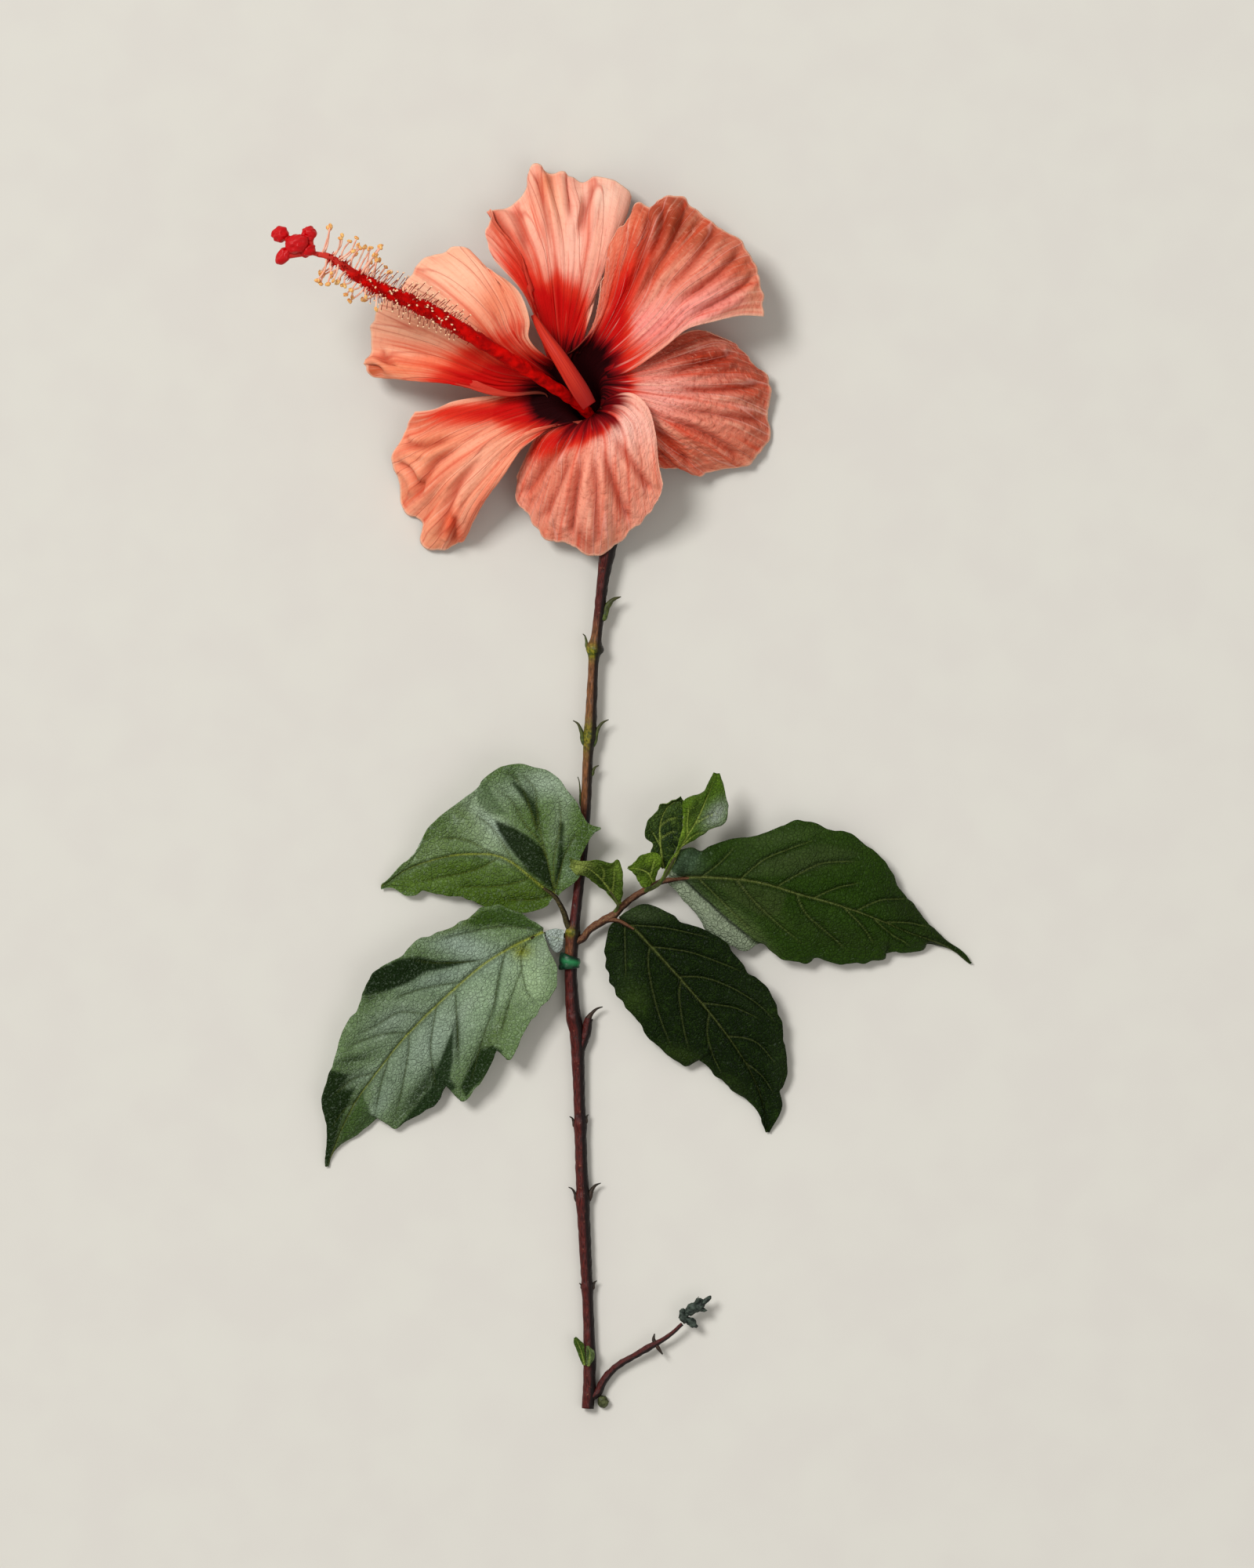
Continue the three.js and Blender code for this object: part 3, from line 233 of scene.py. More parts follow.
def skin(name, grid, thickness, material, attributes):
    """A thin closed skin either side of a grid of points; thickness may vary over the grid."""
    rows, columns = grid.shape[:2]
    resting = np.max(thickness) / 2
    grid = np.concatenate([grid[..., :2], np.maximum(grid[..., 2:], resting)], -1)
    normal = normals_of(grid)
    half = (np.broadcast_to(thickness, (rows, columns)) / 2)[..., None]
    if normal[..., 2].sum() < 0:
        grid, normal, half = grid[:, ::-1], normal[:, ::-1] * -1, half[:, ::-1]
        attributes = {key: np.asarray(value)[:, ::-1] for key, value in attributes.items()}
    top, bottom = grid + normal * half, grid - normal * half
    index = np.arange(rows * columns).reshape(rows, columns)
    a, b, c, d = index[:-1, :-1], index[1:, :-1], index[1:, 1:], index[:-1, 1:]
    under = rows * columns
    quads = np.stack([a, b, c, d], -1).reshape(-1, 4)
    back = np.stack([a, d, c, b], -1).reshape(-1, 4) + under
    rim = np.concatenate([index[:-1, 0], index[-1, :-1], index[:0:-1, -1], index[0, :0:-1]])
    after = np.roll(rim, -1)
    wall = np.stack([rim, rim + under, after + under, after], -1)
    u, v = np.meshgrid(np.linspace(0.01, 0.99, rows), np.linspace(0.01, 0.485, columns), indexing="ij")
    bake = np.concatenate([np.stack([v, u], -1).reshape(-1, 2),
                           np.stack([v + 0.505, u], -1).reshape(-1, 2)])
    doubled = {}
    for key, value in attributes.items():
        value = np.asarray(value)
        flat_value = value.reshape(-1, 3) if value.ndim == 3 else value.ravel()
        doubled[key] = np.concatenate([flat_value, flat_value])
    doubled["back"] = np.repeat([0.0, 1.0], rows * columns)
    faces = np.concatenate([quads, back, wall])
    return new_object(name, np.vstack([top.reshape(-1, 3), bottom.reshape(-1, 3)]), faces, material,
                      doubled, bake)


def round_angles(sides):
    return np.linspace(0, 2 * math.pi, sides, endpoint=False)


def capped_rings(rings, sides):
    """Faces of rings of points, one ring after another, closed by a fan at either end."""
    i, k = np.meshgrid(np.arange(rings - 1), np.arange(sides), indexing="ij")
    a, b = i * sides + k, i * sides + (k + 1) % sides
    faces = np.stack([a, a + sides, b + sides, b], -1).reshape(-1, 4).tolist()
    k = np.arange(sides)
    after, far = (k + 1) % sides, (rings - 1) * sides
    faces += np.stack([np.full(sides, rings * sides), k, after], -1).tolist()
    faces += np.stack([np.full(sides, rings * sides + 1), far + after, far + k], -1).tolist()
    return faces


def tube_mesh(path, radii, sides, ripple=0.0, seed=0):
    """Points, faces and the share along of a closed round tube along path."""
    path, radii = np.asarray(path, float), np.asarray(radii, float)
    tangent = unit_rows(np.gradient(path, axis=0))
    level = abs(tangent[:, 2]).mean() < 0.8
    side = unit_rows(np.cross(tangent, [0.0, 0.0, 1.0] if level else [1.0, 0.0, 0.0]))
    lift = np.cross(side, tangent)
    steps = len(path)
    around, along = np.meshgrid(round_angles(sides), np.arange(steps))
    wobble = 1 + ripple * noise(np.cos(around) * 1.7 + 9, np.sin(around) * 1.7 + along * 0.35, seed)
    out = side[:, None] * np.cos(around)[..., None] + lift[:, None] * np.sin(around)[..., None]
    ring = path[:, None] + out * (radii[:, None] * wobble)[..., None]
    points = np.vstack([ring.reshape(-1, 3), path[:1], path[-1:]])
    share = np.concatenate([np.repeat(np.linspace(0, 1, steps), sides), [0, 1]])
    return points, capped_rings(steps, sides), share


def ball_mesh(centre, radii, turn, rings, sides, rough, seed):
    """Points and faces of a closed lumpy ellipsoid."""
    polar, around = np.meshgrid(np.linspace(0, math.pi, rings + 1)[1:-1], round_angles(sides),
                                indexing="ij")
    unit = np.stack([np.sin(polar) * np.cos(around), np.sin(polar) * np.sin(around), np.cos(polar)], -1)
    unit = np.vstack([unit.reshape(-1, 3), [[0, 0, 1]], [[0, 0, -1]]])
    grain = 1 + rough * noise(unit[:, 0] * 3 + 7 + unit[:, 2] * 2, unit[:, 1] * 3 + 7, seed)
    local = unit * np.array(radii) * grain[:, None]
    c, s = math.cos(turn), math.sin(turn)
    points = local @ np.array([[c, s, 0], [-s, c, 0], [0, 0, 1]]) + np.array(centre)
    return points, capped_rings(rings - 1, sides)


class Parts:
    """Gathers several closed shapes into one piece, with per-point attributes."""

    def __init__(self):
        self.points, self.faces, self.attributes, self.count = [], [], {}, 0

    def add(self, points, faces, **attributes):
        self.faces += [[index + self.count for index in face] for face in faces]
        self.points.append(np.asarray(points))
        for key, value in attributes.items():
            self.attributes.setdefault(key, []).append(np.broadcast_to(value, len(points)))
        self.count += len(points)

    def tube(self, tip, *shape):
        """Adds a tube_mesh of that shape; tip is a number or a function of the share along it."""
        points, faces, share = tube_mesh(*shape)
        self.add(points, faces, tip=tip(share) if callable(tip) else tip)

    def ball(self, tip, *shape):
        """Adds a ball_mesh of that shape, all at the same tip."""
        points, faces = ball_mesh(*shape)
        self.add(points, faces, tip=tip)

    def make(self, name, material):
        values = {key: np.concatenate(parts) for key, parts in self.attributes.items()}
        return new_object(name, np.vstack(self.points), self.faces, material, values)


# ---------------------------------------------------------------- materials
class Nodes:
    """A short way to write a material's nodes; base is the colour painted so far."""

    def __init__(self, name):
        self.material = bpy.data.materials.new(name)
        self.material.use_nodes = True
        self.tree = self.material.node_tree
        self.shader = self.tree.nodes["Principled BSDF"]
        self.base = None

    def put(self, socket, value):
        if isinstance(value, bpy.types.NodeSocket):
            self.tree.links.new(value, socket)
        else:
            socket.default_value = value

    def node(self, kind, inputs, output=0, **settings):
        """Adds a node, makes its settings, fills its inputs and gives back one of its outputs."""
        node = self.tree.nodes.new("ShaderNode" + kind)
        for key, value in settings.items():
            setattr(node, key, value)
        for key, value in inputs.items():
            self.put(node.inputs[key], value)
        return node.outputs[output]

    def attribute(self, name, output="Fac"):
        return self.node("Attribute", {}, output, attribute_name=name)

    def place(self):
        return self.node("TexCoord", {}, "Object")

    def point(self, x, y):
        return self.node("CombineXYZ", {0: x, 1: y})

    def math(self, operation, a, b=0.0):
        return self.node("Math", {0: a, 1: b}, operation=operation)

    def plus(self, total, *more):
        for value in more:
            total = self.math("ADD", total, value)
        return total

    def minus(self, a, b):
        return self.math("SUBTRACT", a, b)

    def times(self, product, *more):
        for value in more:
            product = self.math("MULTIPLY", product, value)
        return product

    def between(self, value, low, high, to_low=0.0, to_high=1.0):
        """Goes smoothly from to_low to to_high as value goes from low to high."""
        inputs = {"Value": value, "From Min": low, "From Max": high, "To Min": to_low, "To Max": to_high}
        return self.node("MapRange", inputs, "Result", interpolation_type="SMOOTHSTEP")

    def noise(self, where, scale, detail=3.0, roughness=0.55):
        inputs = {"Vector": where, "Scale": scale, "Detail": detail, "Roughness": roughness}
        return self.node("TexNoise", inputs, "Fac")

    def edges(self, where, scale):
        """Distance to the edges of a net of cells."""
        inputs = {"Vector": where, "Scale": scale}
        return self.node("TexVoronoi", inputs, "Distance", feature="DISTANCE_TO_EDGE")

    def lines(self, where, half_width):
        """Thin wandering lines, 1 on a line and 0 off it, where a smooth noise crosses its middle."""
        gap = self.math("ABSOLUTE", self.minus(self.noise(where, 1.0, 1.0, 0.4), 0.5))
        return self.between(gap, 0.0, half_width, 1.0, 0.0)

    def grain(self, across, along):
        """Noise drawn out along a stem: bumps round its half girth, and per millimetre of its height."""
        where = self.point(self.times(self.attribute("around"), across),
                           self.times(self.attribute("height"), along))
        return self.noise(where, 1.0, 4.0)

    def mix(self, share, a, b):
        """A mix of two colours, each a socket or a colour as it looks on screen."""
        a, b = (value if isinstance(value, bpy.types.NodeSocket) else rgb(*value) for value in (a, b))
        return self.node("Mix", {"Factor": share, "A": a, "B": b}, "Result", data_type="RGBA")

    def tint(self, share, colour):
        """Lays a colour over what is painted so far."""
        self.base = self.mix(share, self.base, colour)

    def bump(self, height, distance, strength):
        inputs = {"Height": height, "Distance": distance, "Strength": strength}
        self.put(self.shader.inputs["Normal"], self.node("Bump", inputs))

    def finish(self, roughness, **constants):
        self.put(self.shader.inputs["Base Color"], self.base)
        self.put(self.shader.inputs["Roughness"], roughness)
        for key, value in constants.items():
            self.put(self.shader.inputs[key.replace("_", " ")], value)
        return self.material


def rgb(red, green, blue):
    """A colour given as it looks on screen, 0 to 255, as the linear one that a shader takes."""
    def linear(value):
        value /= 255
        return value / 12.92 if value <= 0.04045 else ((value + 0.055) / 1.055) ** 2.4
    return (linear(red), linear(green), linear(blue), 1.0)


def petal_material():
    """Petal: painted tone and shade, veins fanning from the throat, crinkles between them with painted shade
    and highlight, red flush from the base.
    """
    n = Nodes("petal")
    along, across, crepe = n.attribute("along"), n.attribute("across"), n.attribute("crepe")
    fan = lambda wide, deep: n.point(n.times(across, wide), n.times(along, deep))
    streak = n.noise(fan(20.0, 1.0), 1.0, 3.0)
    thread = n.noise(fan(90.0, 3.0), 1.0, 2.0)
    crinkle = n.noise(fan(42.0, 44.0), 1.0, 4.0, 0.6)
    veins = n.math("MAXIMUM", n.lines(fan(10.0, 0.6), 0.014), n.times(n.lines(fan(22.0, 1.4), 0.014), 0.3))
    n.base = n.attribute("tone", "Color")
    n.tint(n.between(streak, 0.5, 0.68, 0.0, 0.62), (216, 76, 44))
    n.tint(n.between(streak, 0.46, 0.32, 0.0, 0.3), (255, 204, 172))
    n.tint(n.between(thread, 0.52, 0.74, 0.0, 0.34), (206, 78, 50))
    n.tint(n.between(thread, 0.46, 0.26, 0.0, 0.26), (255, 206, 178))
    # Painted shade in the crinkles' troughs and painted highlight on their crests.
    n.tint(n.times(n.between(crinkle, 0.5, 0.32, 0.0, 0.62), crepe), (170, 58, 38))
    n.tint(n.times(n.between(crinkle, 0.54, 0.75, 0.0, 0.6), crepe), (252, 176, 148))
    reach = n.plus(n.attribute("flush"), n.times(n.minus(thread, 0.5), 0.3),
                   n.times(n.minus(streak, 0.5), 0.8))
    n.tint(n.between(reach, 0.02, 0.62), (222, 58, 36))
    n.tint(n.between(reach, 0.35, 0.95), (198, 14, 12))
    n.tint(n.times(veins, n.attribute("pale_veins"), 0.5), (255, 190, 174))
    n.tint(n.times(veins, n.attribute("red_veins"), 0.5), (196, 56, 30))
    # Painted shade in the valleys of the grooves.
    n.tint(n.attribute("groove"), (168, 50, 26))
    n.tint(n.attribute("edge"), (255, 206, 176))
    n.tint(n.between(n.attribute("deep"), 0.0, 0.6), (116, 6, 12))
    n.tint(n.between(n.attribute("deep"), 0.45, 1.0), (34, 1, 3))
    n.tint(n.times(n.attribute("back"), 0.3), (216, 104, 80))
    n.bump(n.plus(n.times(thread, 0.3), n.times(crinkle, crepe, 1.5), n.times(veins, 0.25)), 0.0006, 0.9)
    rough = n.between(thread, 0.3, 0.7, 0.55, 0.72)
    return n.finish(rough, Subsurface_Weight=0.04, Subsurface_Scale=0.001, Specular_IOR_Level=0.05)


def leaf_material(name, dark, light, rib):
    """Leaf: painted tone, painted sheen outside the painted shade, a fine net of small veins, main veins and
    painted shade in the creases beside them.
    """
    n = Nodes(name)
    place, shade = n.place(), n.attribute("shade")
    mottle = n.noise(place, 240.0, 6.0, 0.62)
    speck = n.noise(place, 1500.0, 3.0)
    net, fine = n.edges(place, 560.0), n.edges(place, 900.0)
    lit = n.minus(1.0, shade)
    n.base = n.attribute("tone", "Color")
    n.tint(n.between(mottle, 0.5, 0.26, 0.0, 0.35), dark)
    # Painted sheen: pale mottle and specks, kept off the areas of painted shade.
    n.tint(n.times(n.between(mottle, 0.55, 0.78, 0.0, 0.35), lit), light)
    n.tint(n.times(n.between(speck, 0.56, 0.72, 0.0, 0.3), lit), light)
    n.tint(n.between(fine, 0.0, 0.14, 0.3, 0.0), dark)
    # Painted sheen along the net's lines, also kept off the painted shade.
    n.tint(n.times(n.between(net, 0.0, 0.06, 0.16, 0.0), lit), light)
    n.tint(n.times(n.between(speck, 0.52, 0.7, 0.0, 0.35), shade), n.mix(0.3, dark, light))
    # Painted shade in the creases beside the veins and along the fold.
    n.tint(n.attribute("crease_shade"), dark)
    n.tint(n.attribute("rib"), rib)
    n.tint(n.times(n.attribute("back"), 0.55), light)
    relief = n.plus(n.times(n.between(net, 0.0, 0.16), 0.6), n.times(mottle, 0.7),
                    n.times(n.between(fine, 0.0, 0.2), 0.35))
    n.bump(relief, 0.0005, 0.9)
    return n.finish(n.between(mottle, 0.3, 0.7, 0.34, 0.52), Specular_IOR_Level=0.08)


def bark_material():
    """Bark: glossy red-brown, with painted shade taking it to near black on the right, olive higher up,
    yellow-green at the nodes.
    """
    n = Nodes("bark")
    grain = n.grain(16.0, 0.4)
    speck = n.noise(n.place(), 1100.0, 3.0)
    streak = n.between(grain, 0.3, 0.7)
    n.base = n.mix(streak, (40, 6, 4), (92, 26, 20))
    n.tint(n.attribute("rust"), n.mix(streak, (74, 46, 20), (150, 98, 56)))
    n.tint(n.attribute("green"), n.mix(n.between(speck, 0.35, 0.65), (56, 72, 10), (132, 128, 26)))
    n.tint(n.between(speck, 0.64, 0.72, 0.0, 0.35), (176, 118, 84))
    # Painted shade: the stem's right side is darkened to near black.
    n.tint(n.between(n.attribute("right"), 0.42, 0.72, 0.0, 0.95), (10, 4, 3))
    n.bump(n.plus(n.times(grain, 0.8), n.times(speck, 0.35)), 0.0004, 0.8)
    return n.finish(n.between(grain, 0.3, 0.7, 0.3, 0.5), Specular_IOR_Level=0.22)


def twig_material(name, dark, light):
    """Green wood turning brown, with painted shade darker to the right and a fine grain."""
    n = Nodes(name)
    grain = n.grain(12.0, 0.5)
    speck = n.noise(n.place(), 1200.0, 3.0)
    n.base = n.mix(n.between(grain, 0.3, 0.7), dark, light)
    n.tint(n.between(speck, 0.55, 0.75, 0.0, 0.4), (160, 134, 84))
    # Painted shade: darker towards the right side.
    n.tint(n.between(n.attribute("right"), 0.5, 0.85, 0.0, 0.85), (26, 14, 9))
    n.bump(n.plus(grain, n.times(speck, 0.4)), 0.0003, 0.7)
    return n.finish(n.between(grain, 0.3, 0.7, 0.42, 0.6), Specular_IOR_Level=0.15)


def plain_material(name, dark, light, scale, rough, bump, tip=None, shine=0.25):
    """A mottled, bumpy material for small pieces; tip colours what the tip attribute marks: the far end, and
    on the collar a painted highlight.
    """
    n = Nodes(name)
    mottle = n.noise(n.place(), scale, 4.0)
    n.base = n.mix(n.between(mottle, 0.32, 0.68), dark, light)
    if tip is not None:
        n.tint(n.attribute("tip"), tip)
    n.bump(mottle, bump, 0.7)
    return n.finish(n.between(mottle, 0.3, 0.7, *rough), Specular_IOR_Level=shine)


def strip_material():
    """The strip across the throat: red threads along it, darker at its foot and its right side."""
    n = Nodes("strip")
    along, across = n.attribute("along"), n.attribute("across")
    thread = n.noise(n.point(n.times(across, 12.0), along), 1.0, 3.0)
    n.base = n.mix(n.between(thread, 0.3, 0.7), (176, 20, 8), (212, 52, 26))
    n.tint(n.between(along, 0.55, 1.1), (150, 8, 6))
    n.tint(n.between(across, 0.75, 1.0, 0.0, 0.7), (120, 8, 6))
    n.bump(thread, 0.0003, 0.5)
    return n.finish(n.between(thread, 0.3, 0.7, 0.45, 0.6), Specular_IOR_Level=0.25)


# ---------------------------------------------------------------- the bloom
TUBE_AXIS = np.array([-0.64, 0.64, 0.43]) / np.linalg.norm([-0.64, 0.64, 0.43])
TUBE_ACROSS = np.array([1.0, 1.0, 0.0]) / math.sqrt(2)
TUBE_OVER = np.cross(TUBE_ACROSS, TUBE_AXIS)
BLOOM_FOOT = np.array([1.7, 105.3, 6.3])
CALYX_DEPTH = 11.0
RING_CENTRE = BLOOM_FOOT + TUBE_AXIS * (CALYX_DEPTH + 0.6)
RING_RADIUS = 4.4
RING_TURN = 45
THROAT = np.array([-15.0, 127.0, 18.0])
THROAT_HALF = (9.5, 11.0)
THROAT_LEAN = 4.0
CLAW_SHARE = 0.16
PETAL_THICKNESS = 0.42


def lip_point(degrees):
    angle = np.radians(degrees)
    return np.stack([THROAT[0] + THROAT_HALF[0] * np.cos(angle), THROAT[1] + THROAT_HALF[1] * np.sin(angle),
                     THROAT[2] + THROAT_LEAN * np.cos(np.radians(degrees + RING_TURN))], axis=-1)


def ring_point(degrees):
    angle = np.radians(RING_TURN - degrees)[..., None]
    return RING_CENTRE + RING_RADIUS * (TUBE_ACROSS * np.cos(angle) + TUBE_OVER * np.sin(angle))


def petal_grid(petal, rows, columns):
    """Mid-surface points of a petal and its along and across shares, as grids."""
    lip, first, tip, second, lifts = (petal[key] for key in ("lip", "first", "tip", "second", "lifts"))
    v = np.linspace(0, 1, columns)
    degrees = lip[0] + (lip[1] - lip[0]) * v
    lips = lip_point(degrees)
    first_side = Curve([lips[0, :2], *first])
    second_side = Curve([lips[-1, :2], *second])
    rim = Curve(tip)

    def blade(u):
        """Blade points for one column of u and every v."""
        u2, v2 = u[:, None, None], v[None, :, None]
        sides = first_side.at(u)[:, None] * (1 - v2) + second_side.at(u)[:, None] * v2
        ends = lips[None, :, :2] * (1 - u2) + rim.at(v)[None] * u2
        corners = ((lips[0, :2] * (1 - v2) + lips[-1, :2] * v2) * (1 - u2)
                   + (rim.at(0.0) * (1 - v2) + rim.at(1.0) * v2) * u2)
        flat = sides + ends - corners
        u1, v1 = u[:, None], v[None, :]
        rows_of = [through_four([lips[None, :, 2], *row], u1) for row in lifts]
        return np.concatenate([flat, through_three(rows_of, v1)[..., None]], axis=-1)

    claw_rows = int(rows * CLAW_SHARE)
    u = np.linspace(0, 1, rows - claw_rows)
    outer = blade(u)
    d = outer[0]
    outward = blade(np.array([0.0, 0.02]))
    outward = outward[1] - outward[0]
    outward /= np.linalg.norm(outward, axis=-1, keepdims=True)
    a = ring_point(degrees)
    reach = np.linalg.norm(d - a, axis=-1, keepdims=True) / 3
    b, c = a + TUBE_AXIS * reach, d - outward * reach
    t = np.linspace(0, 1, claw_rows, endpoint=False)[:, None, None]
    claw = a * (1 - t)**3 + b * 3 * t * (1 - t)**2 + c * 3 * t**2 * (1 - t) + d * t**3
    grid = np.concatenate([claw, outer])
    along = np.concatenate([np.linspace(-0.25, 0, claw_rows, endpoint=False), u])
    return grid, np.repeat(along[:, None], columns, 1), np.repeat(v[None], rows, 0)
